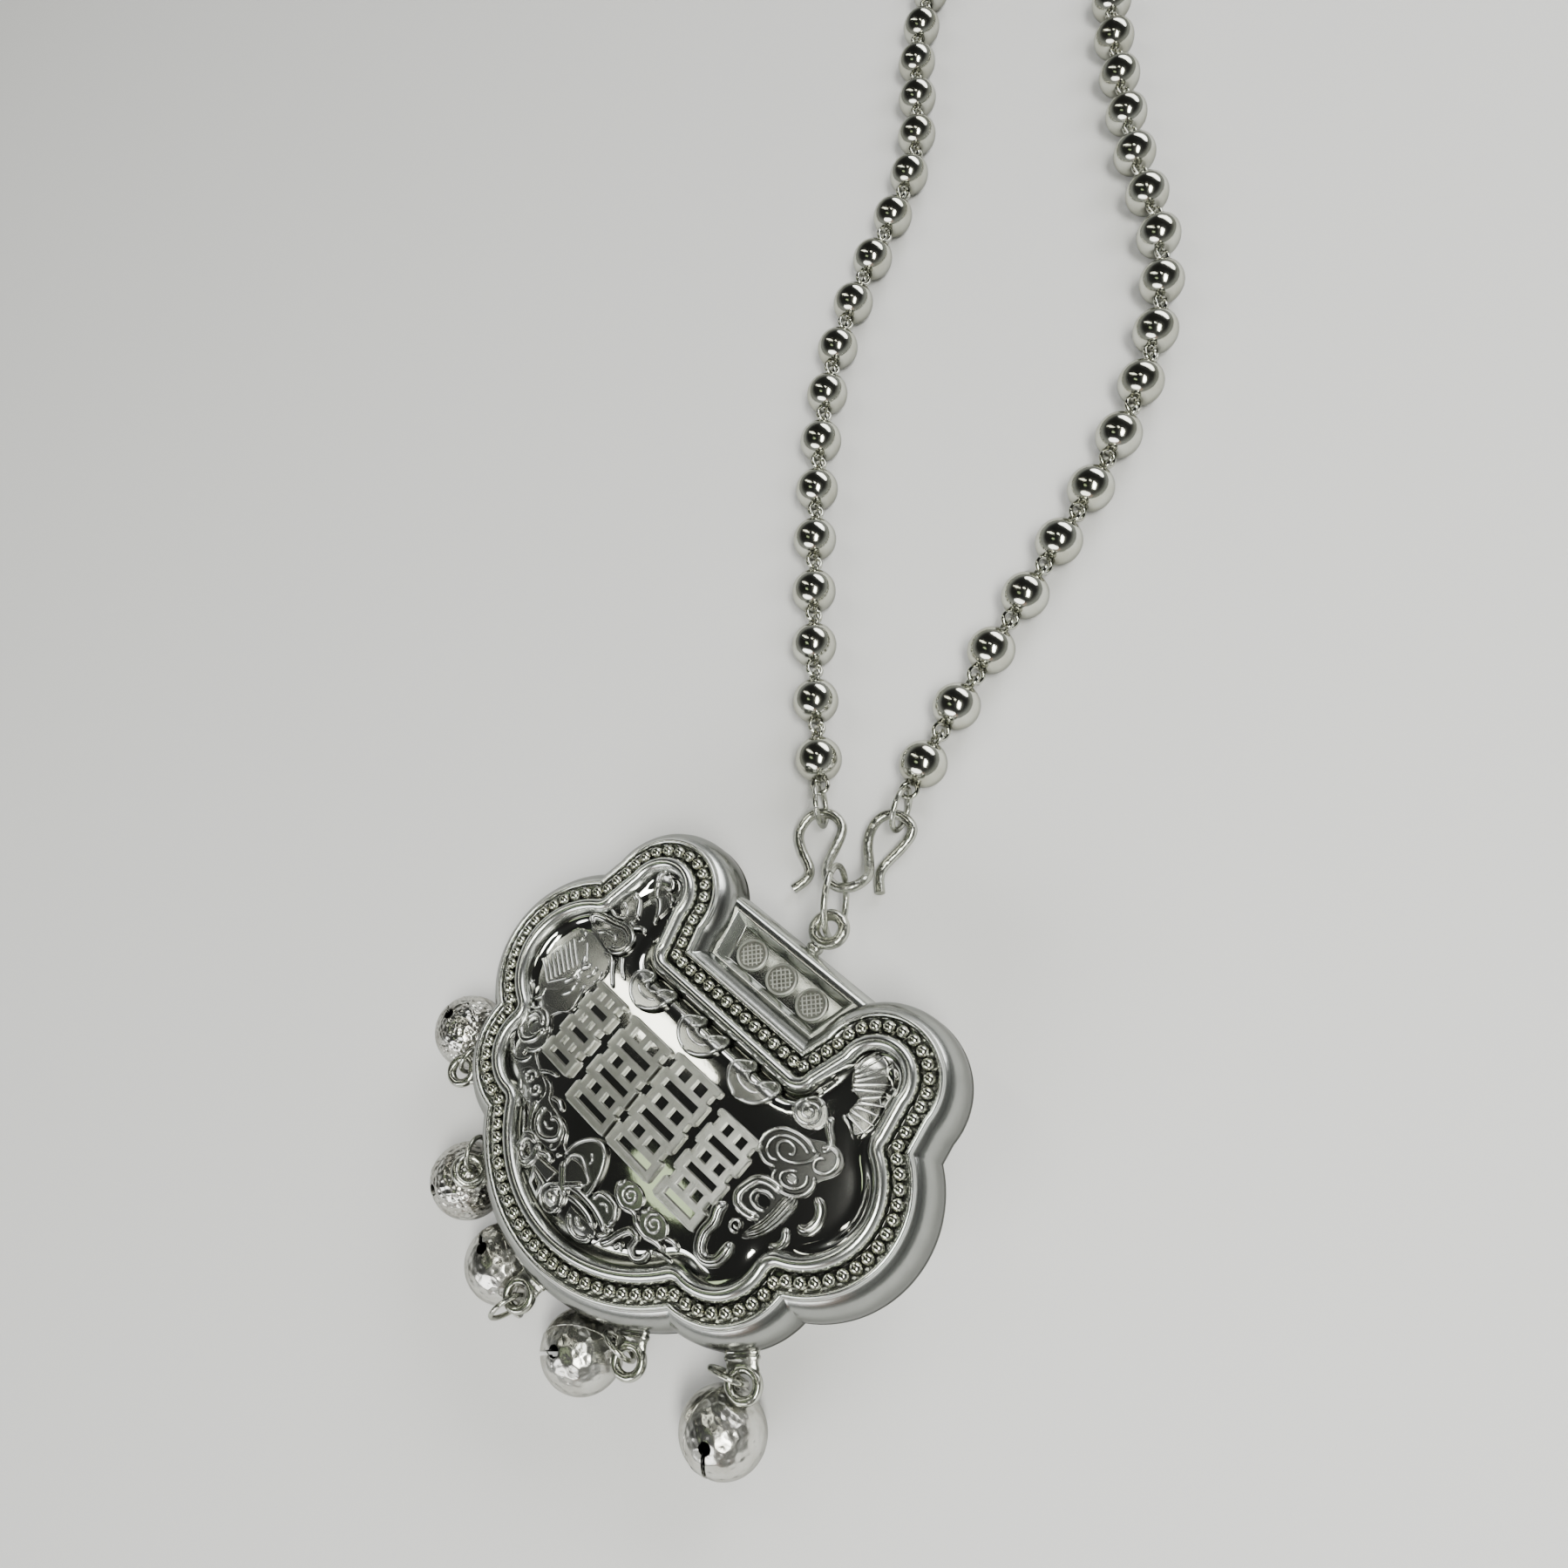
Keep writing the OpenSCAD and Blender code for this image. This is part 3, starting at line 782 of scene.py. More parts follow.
@dataclass
class LockBody:
    """The puffed padlock: shell, rim, field, bar, loops and bail."""

    rim: RimLine
    finishes: Finishes
    field_y: float = -9.5
    field_r: float = 67.0
    field_top: float = 13.7
    field_edge: float = -2.3
    edge_z: float = 11.35
    edge_reach: float = 0.75
    plate_z: float = 11.4
    bead_pitch: float = 1.24
    bead_r: float = 0.60
    seam_z: float = 7.2
    window_z: float = 8.2
    patch_grid: float = 0.9
    seat_z: float = 7.0
    loop_r: float = 1.29
    loop_wire: float = 0.45
    bail_r: float = 1.45
    bail_wire: float = 0.58
    drop_r: float = 0.75

    # Offset from the line of beads and height, from the back round to the field
    SECTION = (
        (-0.60, 0.00), (-0.05, 0.00), (0.16, 0.05), (0.34, 0.20), (0.60, 0.55), (0.82, 1.00),
        (1.22, 2.00), (1.62, 3.10), (2.02, 4.20), (2.42, 5.30), (2.72, 6.20), (2.86, 6.62),
        (2.92, 6.78), (3.00, 6.90), (3.00, 7.05), (2.93, 7.18), (2.93, 7.60), (2.90, 8.20),
        (2.82, 8.90), (2.68, 9.55), (2.45, 10.15), (2.12, 10.68), (1.75, 11.06), (1.46, 11.27),
        (1.33, 11.36), (1.28, 11.46), (1.26, 11.66), (1.20, 11.80), (1.10, 11.88), (1.00, 11.90),
        (0.90, 11.87), (0.82, 11.77), (0.78, 11.60), (0.75, 11.46), (0.70, 11.40), (0.35, 11.37),
        (-0.10, 11.37), (-0.60, 11.38), (-0.68, 11.41), (-0.72, 11.50), (-0.74, 11.72),
        (-0.79, 11.96), (-0.88, 12.20), (-1.02, 12.42), (-1.20, 12.58), (-1.40, 12.67),
        (-1.58, 12.68), (-1.75, 12.63), (-1.92, 12.50), (-2.06, 12.30), (-2.17, 12.05),
        (-2.24, 11.78), (-2.28, 11.52), (-2.30, 11.35),
    )

    # Middles of the bail and of its drop of solder
    BAIL = (0.0, 11.5, 7.4)
    DROP = (0.0, 9.3, 7.1)
    # Flared neck of a loop with its two ridges: place along x, half width and half thickness
    NECK = (
        (-0.25, 2.15, 0.62), (0.10, 1.95, 0.62), (0.28, 1.62, 0.47), (0.50, 1.56, 0.46),
        (0.64, 1.66, 0.58), (0.86, 1.64, 0.58), (1.00, 1.50, 0.46), (1.35, 1.46, 0.45),
        (1.75, 1.50, 0.42), (1.95, 1.40, 0.36),
    )
    # Places across a ribbon, from one edge to the other
    ACROSS = (-1.0, -0.94, -0.8, -0.58, -0.3, 0.0, 0.3, 0.58, 0.8, 0.94, 1.0)
    # Rounded end by the width, upright edge by the height, and how deep the foot is sunk
    END_SHARE = 0.8
    STEP = 0.22
    SUNK = 0.12
    # Groove: its depth by the height, and its half width and softness by the half width
    GROOVE_DEPTH = 0.30
    GROOVE_HALF = 0.14
    GROOVE_SPREAD = 0.10
    # Painted shade of a ribbon at its edge, and how much of it goes towards the ridge
    EDGE_SHADE_THIN = (1.6, 2.0)
    EDGE_SHADE_WIDE = (1.05, 1.6)

    def __post_init__(self) -> None:
        """Keep the line along which the field meets its moulding."""
        self.field_line = self.rim.ring(self.field_edge)

    def make(self) -> None:
        """Make every piece of the lock."""
        self.make_shell()
        self.make_beads()
        self.make_field()
        self.make_bar()
        self.make_medallions()
        self.make_ornament()
        self.make_loops()

    def dome(self, xy: Array) -> Array:
        """Height of the ball that the field is part of."""
        away = xy[:, 0] ** 2 + (xy[:, 1] - self.field_y) ** 2
        return self.field_top - self.field_r + np.sqrt(self.field_r ** 2 - away)

    def surface(self, xy: Array) -> Array:
        """Height of the field, which curves down where it meets the moulding."""
        near = distance_to_line(xy, self.field_line)
        top = self.dome(xy)
        fall = np.exp(-(near / self.edge_reach) ** 2)
        return top - (top - self.edge_z) * fall

    def make_shell(self) -> None:
        """Loft the wall, the rim and its mouldings along the line of beads."""
        rings = [np.column_stack([self.rim.ring(out), np.full(len(self.field_line), z)])
                 for out, z in self.SECTION]
        faces = band_faces(len(rings), len(rings[0]), flip=True)
        faces.append(list(range(len(rings[0]))))
        shell = Bench.piece("lock_shell", np.vstack(rings), faces)
        Bench.heal(shell)
        Bench.smooth(shell, 50)
        line = self.rim.ring(0.0)

        def depth(points: Array) -> Array:
            """Painted shade beside the beads, beside the field and on the wall, and darker along
            the seam.
            """
            near = distance_to_line(points[:, :2], line)
            z = points[:, 2]
            channel = (near < 0.70) * (np.abs(z - self.plate_z - 0.05) < 0.25)
            seam = 0.5 * np.exp(-((z - self.seam_z) / 0.2) ** 2)
            edge = 0.7 * np.exp(-((near + self.field_edge + 0.02) / 0.1) ** 2) * (z > 11)
            wall = 0.62 * (near > 1.5) * (z < 11.2) * (near > 1.6 + (z - 11.3) * 10)
            return channel + seam + edge + wall

        mark_painted_shade(shell, depth)
        # Painted shade on the shell's sides and underside
        paint_side_shade(shell, 0.5)
        self.finishes.finish(shell, Surface.MOULDED, Slot.CAST, "lock_body")

    def make_beads(self) -> None:
        """Set the row of rim beads in its channel."""
        line = self.rim.ring(0.0)
        closed = np.vstack([line, line[:1]])
        count = round(run_lengths(closed)[-1] / self.bead_pitch)
        places = even_line(closed, count + 1)[:-1]
        model = Bench.ball("bead", self.bead_r, 18, 10)
        matrices = [Matrix.Translation((x, y, self.plate_z + 0.1)) for x, y in places]
        beads = Bench.copies("rim_beads", model, matrices)
        Bench.smooth(beads, 80)
        # Painted shade at the foot of each rim bead, in its channel
        mark_painted_shade(beads, lambda p: (self.plate_z + 0.30 - p[:, 2]) / 0.25)
        self.finishes.finish(beads, Surface.BEAD, Slot.CAST)

    def make_field(self) -> None:
        """Make the domed mirror field, from the moulding in to its middle line."""
        outer = self.field_line
        spine = smooth_line([(-14.1, 4.2), (-13.9, 0.5), (-12.4, -5.0), (-7.0, -9.3), (0, -10.0),
                             (7.0, -9.3), (12.4, -5.0), (13.9, 0.5), (14.1, 4.2)], 40)
        far = np.linalg.norm(outer[:, None] - spine[None], axis=2)
        inner = spine[np.argmin(far, axis=1)]
        shares = np.concatenate([np.linspace(0, 0.16, 9), np.linspace(0.2, 1.0, 20)])
        rows = []
        for share in shares:
            xy = outer + share * (inner - outer)
            rows.append(np.column_stack([xy, self.surface(xy)]))
        faces = band_faces(len(rows), len(outer), flip=True)
        made = Bench.piece("mirror_field", np.vstack(rows), faces)
        Bench.heal(made, 0.01)
        Bench.smooth(made, 60)
        self.finishes.finish(made, Surface.MIRROR, Slot.CAST)

    def make_bar(self) -> None:
        """Make the bar between the ears, with the bevelled window sunk in its top."""
        half = 9.2
        back = (
            (2.2, 2.55), (6.2, 2.55), (7.0, 2.60), (7.6, 2.82), (8.1, 3.20), (8.42, 3.75),
            (8.60, 4.60), (8.74, 5.60), (8.86, 6.60), (8.90, 6.85), (8.90, 7.05), (8.84, 7.18),
            (8.82, 7.60), (8.72, 8.30), (8.52, 8.95), (8.30, 9.35), (8.05, 9.62), (7.75, 9.76),
            (7.45, 9.80),
        )
        verts = [(x, y, z) for y, z in back for x in (-half, half)]
        faces = [(2 * i, 2 * i + 1, 2 * i + 3, 2 * i + 2) for i in range(len(back) - 1)]
        frames = (
            (half, half, 7.45, 2.45, 9.80), (7.55, 6.35, 7.32, 2.72, 9.80),
            (7.42, 6.25, 7.22, 2.80, 9.74), (6.62, 5.62, 6.72, 3.16, 8.34),
            (6.52, 5.54, 6.64, 3.24, 8.24), (6.36, 5.42, 6.50, 3.36, self.window_z),
        )
        first = len(verts)
        for back_half, front_half, y_back, y_front, z in frames:
            verts += [(-back_half, y_back, z), (back_half, y_back, z),
                      (front_half, y_front, z), (-front_half, y_front, z)]
        faces += band_faces(len(frames), 4, first, flip=True)
        last = first + 4 * (len(frames) - 1)
        faces.append((last, last + 3, last + 2, last + 1))
        bar = Bench.piece("window_bar", np.array(verts), faces)
        Bench.heal(bar, 0.005)
        bevel = bar.modifiers.new("edges", "BEVEL")
        bevel.width = 0.07 * MM
        bevel.segments = 3
        bevel.limit_method = "ANGLE"
        bevel.angle_limit = math.radians(28)
        Bench.apply_modifiers(bar)
        Bench.smooth(bar, 40)
        # Painted shade along the crease where the window's floor meets its bevels
        mark_painted_shade(bar, lambda p: 0.5 * np.exp(-((p[:, 2] - self.window_z - 0.02) / 0.05) ** 2))
        self.finishes.finish(bar, Surface.SHELL, Slot.CAST)

    def make_medallions(self) -> None:
        """Set three round medallions with a plain lattice in the window."""
        thick = 0.24
        disc = Bench.drum("disc", 1.55, thick, 0, thick / 2, 56)
        bpy.ops.object.mode_set(mode="EDIT")
        bpy.ops.mesh.select_all(action="DESELECT")
        bpy.ops.object.mode_set(mode="OBJECT")
        for face in disc.data.polygons:
            face.select = face.normal.z > 0.9
        bpy.ops.object.mode_set(mode="EDIT")
        for inset, drop in ((0.06, 0.03), (0.10, 0.0), (0.06, -0.07)):
            bpy.ops.mesh.inset(thickness=inset * MM)
            bpy.ops.transform.translate(value=(0, 0, drop * MM))
        bpy.ops.object.mode_set(mode="OBJECT")
        parts = [disc]
        reach = 1.22
        spacing = 0.42
        for turn in (45, 135):
            way = heading(turn)
            side = heading(turn + 90)
            for number in range(-2, 3):
                step = number * spacing
                half = math.sqrt(reach ** 2 - step ** 2)
                ends = [side * step - way * half, side * step, side * step + way * half]
                parts.append(self.ribbon(Stroke(ends, 0.15, 0.09, 1.0), flat=0.17))
        model = Bench.join("medallion", parts)
        spread = 3.95
        places = [Matrix.Translation((x, 4.9, self.window_z)) for x in (-spread, 0, spread)]
        made = Bench.copies("medallions", model, places)
        Bench.smooth(made, 35)
        # Painted shade on everything below the medallions' top faces
        mark_painted_shade(made, lambda p: (self.window_z + thick - p[:, 2]) / 0.05)
        self.finishes.finish(made, Surface.FROSTED, Slot.CAST)

    def ribbon(self, stroke: "Stroke", flat: Optional[float] = None) -> Object:
        """Raise one ribbon of ornament along a line.

        Args:
            stroke: Its middle line, width, height and groove.
            flat: Height of a flat ground; None lays the ribbon on the domed field.

        Returns:
            The ribbon as an object.
        """
        line = smooth_line(stroke.points, 7)
        count = len(line)
        run = run_lengths(line)
        ends = np.minimum(run, run[-1] - run) / max(1e-6, stroke.width * self.END_SHARE)
        narrow = np.clip(np.sqrt(np.clip(1 - (1 - np.clip(ends, 0, 1)) ** 2, 0.02, 1)), 0.15, 1)
        along = np.gradient(line, axis=0)
        along /= np.maximum(1e-9, np.linalg.norm(along, axis=1))[:, None]
        side = np.stack([-along[:, 1], along[:, 0]], axis=1)
        size = stroke.taper + (1 - stroke.taper) * np.linspace(1, 0, count)
        across = np.unique([*self.ACROSS, *(g + d for g in stroke.grooves
                                            for d in (-self.GROOVE_HALF, 0, self.GROOVE_HALF))])
        across = np.concatenate([[-1.0], across, [1.0]])
        groove = sum((np.exp(-((across - g) / self.GROOVE_SPREAD) ** 2) for g in stroke.grooves),
                     np.zeros(len(across)))
        rise = np.sqrt(np.clip(1 - across ** 2, 0, 1)) - self.GROOVE_DEPTH * groove
        verts = []
        for i in range(count):
            half = 0.5 * stroke.width * narrow[i] * size[i]
            xy = line[i] + np.outer(across * half, side[i])
            tall = stroke.height * narrow[i] * (0.5 + 0.5 * size[i])
            lift = tall * (self.STEP + (1 - self.STEP) * rise)
            lift[0] = lift[-1] = -self.SUNK
            verts.append(np.column_stack([xy, lift]))
        points = np.vstack(verts)
        points[:, 2] += self.surface(points[:, :2]) if flat is None else flat
        wide = len(across)
        quads = [(a, a + wide, a + wide + 1, a + 1)
                 for low in range(0, (count - 1) * wide, wide) for a in range(low, low + wide - 1)]
        caps = [list(range(wide)), list(reversed(range((count - 1) * wide, count * wide)))]
        made = Bench.piece("ribbon", points, quads + caps)
        # Painted shade on the ribbon's sides and in its grooves
        edge_shade, fall = self.EDGE_SHADE_THIN if stroke.width < 0.5 else self.EDGE_SHADE_WIDE
        low = np.clip(edge_shade - fall * np.clip(rise, 0, 1), 0, 1) + 0.8 * groove
        store_painted_shade(made, np.tile(low, count))
        return made

    def patch(self, outline: "Patch") -> Object:
        """Raise a flat-topped patch with softened edges, cut through by its holes.

        Args:
            outline: Its edge, height and holes.

        Returns:
            The patch as an object.
        """
        flat = bpy.data.curves.new("patch", "CURVE")
        flat.dimensions = "2D"
        flat.fill_mode = "BOTH"
        flat.extrude = outline.height * 0.5 * MM
        flat.bevel_depth = outline.edge * MM
        flat.bevel_resolution = 2
        flat.offset = -outline.edge * MM
        rings = [[(x, y, 0.0) for x, y in ring] for ring in (outline.rim, *outline.holes)]
        made = Bench.from_curve(flat, rings, closed=True)
        self._cut_up(made, self.patch_grid)
        top = outline.height * 0.5 + outline.edge

        def lay(points: Array) -> Array:
            """Lay the patch on the field."""
            lifted = points.copy()
            lifted[:, 2] = self.surface(points[:, :2]) + points[:, 2] + outline.lift
            return lifted

        # Painted shade on the sides below the top, and on the whole face by its darkness
        mark_painted_shade(made, lambda p: np.clip((top - 0.05 - p[:, 2]) / 0.1, 0, 1) + outline.dark)
        Bench.bend(made, lay)
        return made

    @staticmethod
    def _cut_up(piece: Object, spacing: float) -> None:
        """Cut a flat piece by a grid, so that it can follow the dome.

        Args:
            piece: The mesh object.
            spacing: Distance between cuts, in millimetres.
        """
        low = np.array(piece.bound_box).min(axis=0) / MM
        high = np.array(piece.bound_box).max(axis=0) / MM
        Bench.pick(piece)
        bpy.ops.object.mode_set(mode="EDIT")
        for axis in (0, 1):
            count = int((high[axis] - low[axis]) / spacing)
            for i in range(1, count + 1):
                place = [0.0, 0.0, 0.0]
                way = [0.0, 0.0, 0.0]
                place[axis] = (low[axis] + i * (high[axis] - low[axis]) / (count + 1)) * MM
                way[axis] = 1.0
                bpy.ops.mesh.select_all(action="SELECT")
                bpy.ops.mesh.bisect(plane_co=place, plane_no=way)
        bpy.ops.object.mode_set(mode="OBJECT")

    def make_ornament(self) -> None:
        """Raise the cast ornament on the field."""
        for motif in ORNAMENT:
            parts = [self.ribbon(stroke) for stroke in motif.strokes]
            parts += [self.patch(outline) for outline in motif.patches]
            made = Bench.join(motif.name, parts)
            Bench.smooth(made, 42)
            self.finishes.finish(made, motif.surface, Slot.CAST)

    def make_loops(self) -> None:
        """Solder the five loops and the bail to the shell."""
        for number, place in enumerate(BELL_PLACES, 1):
            ring = Bench.ring("loop", self.loop_r, self.loop_wire, 48, 16)
            Bench.bend(ring, lambda p: p * [1, 1, 1.1] + [place.TAB_REACH, 0, 0])
            neck = Bench.along_x("neck", self.NECK, 20, ends=True)
            made = Bench.join(f"bell_loop_{number}", [ring, neck])
            turn = Matrix.Rotation(math.radians(place.loop_heading), 4, "Z")
            lift = Matrix.Rotation(math.radians(-place.loop_lift), 4, "Y")
            x, y = place.root() * MM
            made.data.transform(Matrix.Translation((x, y, self.seat_z * MM)) @ turn @ lift)
            self._finish_wire(made, 50)
        ring = Bench.ring("bail", self.bail_r, self.bail_wire, 56, 18)
        Bench.bend(ring, lambda p: p + self.BAIL)
        drop = Bench.ball("drop", self.drop_r, 24, 14)
        Bench.bend(drop, lambda p: p * [1.15, 1.0, 0.95] + self.DROP)
        self._finish_wire(Bench.join("bail", [ring, drop]), 60)

    def _finish_wire(self, piece: Object, angle: float) -> None:
        """Smooth, paint shade on the sides and finish a piece soldered to the shell."""
        Bench.smooth(piece, angle)
        # Painted shade on the wire's sides and underside
        paint_side_shade(piece, WIRE_SIDE_SHADE)
        self.finishes.finish(piece, Surface.WIRE, Slot.CAST)


@dataclass(frozen=True)
class Stroke:
    """A raised ribbon: middle line, width, height, end size and grooves along it."""

    points: Sequence[Sequence[float]]
    width: float
    height: float = 0.5
    taper: float = 0.85
    grooves: tuple[float, ...] = ()


@dataclass(frozen=True)
class Patch:
    """A raised patch: edge, height, softened edge, lift off the field, holes and painted shade."""

    rim: Sequence[Sequence[float]]
    height: float = 0.35
    edge: float = 0.07
    lift: float = 0.1
    holes: Sequence[Sequence[Sequence[float]]] = ()
    dark: float = 0.0


@dataclass(frozen=True)
class Motif:
    """One piece of ornament with its finish."""

    name: str
    strokes: Sequence[Stroke] = ()
    patches: Sequence[Patch] = ()
    surface: Surface = Surface.RELIEF


def spiral(x: float, y: float, radius: float, turns: float, start: float = 0.0,
           inner: float = 0.12, hand: int = 1) -> list[Array]:
    """Points of a spiral from its outside to its middle.

    Args:
        x: Middle.
        y: Middle.
        radius: Radius of the outside.
        turns: Number of turns.
        start: Heading of the outer end, in degrees.
        inner: Share of the radius where it stops.
        hand: 1 to turn anticlockwise inwards, -1 for clockwise.

    Returns:
        The points.
    """
    count = max(6, int(turns * 9))
    made = []
    for i in range(count + 1):
        share = i / count
        size = radius * (1 - (1 - inner) * share)
        made.append(np.array([x, y]) + size * heading(start + hand * 360 * turns * share))
    return made


def disc_rim(x: float, y: float, rx: float, ry: float, count: int = 28) -> list[Array]:
    """Points of an ellipse, anticlockwise."""
    return [np.array([x, y]) + np.array([rx, ry]) * heading(360 * k / count)
            for k in range(count)]


def moved(points: Sequence[Sequence[float]], x: float, y: float, hand: int = 1) -> list[Array]:
    """Points at another place, mirrored from left to right where the hand is -1."""
    return list(np.asarray(points, float) * [hand, 1] + [x, y])


def bowed(start: Sequence[float], end: Sequence[float], bow: float = 0.0) -> list[Sequence[float]]:
    """A line of three points, with the middle one moved along x and y by a bow."""
    return [start, ((start[0] + end[0]) / 2 + bow, (start[1] + end[1]) / 2 + bow), end]


def pellets(half: float, width: float, *places: tuple[float, float]) -> list[Stroke]:
    """Round pellets, each a very short ribbon along x."""
    return [Stroke([(x - half, y), (x + half, y)], width, 0.6, 1.0) for x, y in places]


def box_rim(x: float, y: float, width: float, height: float) -> list[Array]:
    """Corners of an upright rectangle around a point, anticlockwise."""
    corners = ((-0.5, -0.5), (0.5, -0.5), (0.5, 0.5), (-0.5, 0.5))
    return [np.array([x + a * width, y + b * height]) for a, b in corners]


def cloud_head(name: str, x: float, y: float) -> Motif:
    """Heart-shaped cloud head with two curls turned in at its top."""
    curl = [(-1.5, 0.78), (-1.2, 0.42), (-0.82, 0.65), (-0.95, 1.2), (-1.5, 1.5), (-2.1, 1.15),
            (-2.32, 0.4), (-2.0, -0.5), (-1.2, -1.25), (-0.1, -1.68)]
    arcs = ([(-0.8, 0.5), (-0.35, 0.22), (0.0, 0.16), (0.35, 0.22), (0.8, 0.5)],
            [(-1.4, -0.05), (-0.7, -0.45), (0.0, -0.56), (0.7, -0.45), (1.4, -0.05)])
    body = [(0.0, -1.85), (-1.25, -1.45), (-2.1, -0.6), (-2.45, 0.4), (-2.2, 1.2), (-1.5, 1.6),
            (-0.85, 1.3), (-0.55, 0.6), (0, 0.3), (0.55, 0.6), (0.85, 1.3), (1.5, 1.6), (2.2, 1.2),
            (2.45, 0.4), (2.1, -0.6), (1.25, -1.45)]
    rim = list(smooth_line(body + body[:1], 4)[:-1])[::-1]
    strokes = [Stroke(moved(curl, x, y, hand), 0.44, 0.72, 1.0) for hand in (1, -1)]
    strokes += [Stroke(moved(arc, x, y), width, 0.64, 1.0) for arc, width in zip(arcs, (0.3, 0.34))]
    return Motif(name, strokes, (Patch(moved(rim, x, y), 0.3, 0.2, 0.1, (), 0.3),))


def lattice_panel(name: str, x: float, y: float, width: float, height: float,
                  dark: float = 0.0) -> Motif:
    """Upright frosted panel of bars, with pairs of an open slot and a row of two boxes.

    Args:
        name: Name of the piece.
        x: Middle.
        y: Middle.
        width: Width.
        height: Height.
        dark: How much painted shade its face gets.

    Returns:
        The frosted panel and its thin raised edge.
    """
    pairs = 3
    notch = 0.45
    post = 0.7
    half = width / 2
    waist = half - notch
    bar = 0.19 * height / pairs
    slot = 0.24 * height / pairs
    box = (height - bar - pairs * (2 * bar + slot)) / pairs
    low = y - height / 2
    right = [(x + half, low)]
    holes = []
    for _ in range(pairs):
        start = low + bar
        holes.append(box_rim(x, start + slot / 2, width - 1.5, slot))
        start += slot + bar
        right += [(x + half, start), (x + waist, start), (x + waist, start + box),
                  (x + half, start + box)]
        span = waist - 1.5 * post
        for side in (-1, 1):
            holes.append(box_rim(x + side * (span + post) / 2, start + box / 2, span, box))
        low = start + box
    right.append((x + half, y + height / 2))
    rim = right + [(2 * x - a, b) for a, b in reversed(right)]
    lines = [Stroke(bowed(a, b), 0.2, 0.66, 1.0) for a, b in zip(rim, rim[1:] + rim[:1])]
    return Motif(name, lines, (Patch(rim, 0.42, 0.07, 0.14, holes, dark),), Surface.FROSTED)


def fill(rim: Sequence[Sequence[float]], height: float = 0.3,
         holes: Sequence[Sequence[Sequence[float]]] = (), dark: float = 0.4) -> Patch:
    """Low rounded ground under a group of ribbons.

    Args:
        rim: Corners of its edge, in either order.
        height: Height above the field.
        holes: Edges of its holes.
        dark: How much painted shade its top gets.

    Returns:
        The patch.
    """
    corners = [np.array(c, float) for c in rim]
    turn = sum(a[0] * b[1] - a[1] * b[0] for a, b in zip(corners, corners[1:] + corners[:1]))
    corners = corners if turn > 0 else corners[::-1]
    soft = list(smooth_line(corners + corners[:1], 3)[:-1])
    return Patch(soft, height, 0.08, 0.06, holes, dark)


THIN = 0.36
ONE = (0.0,)
TWO = (-0.36, 0.36)

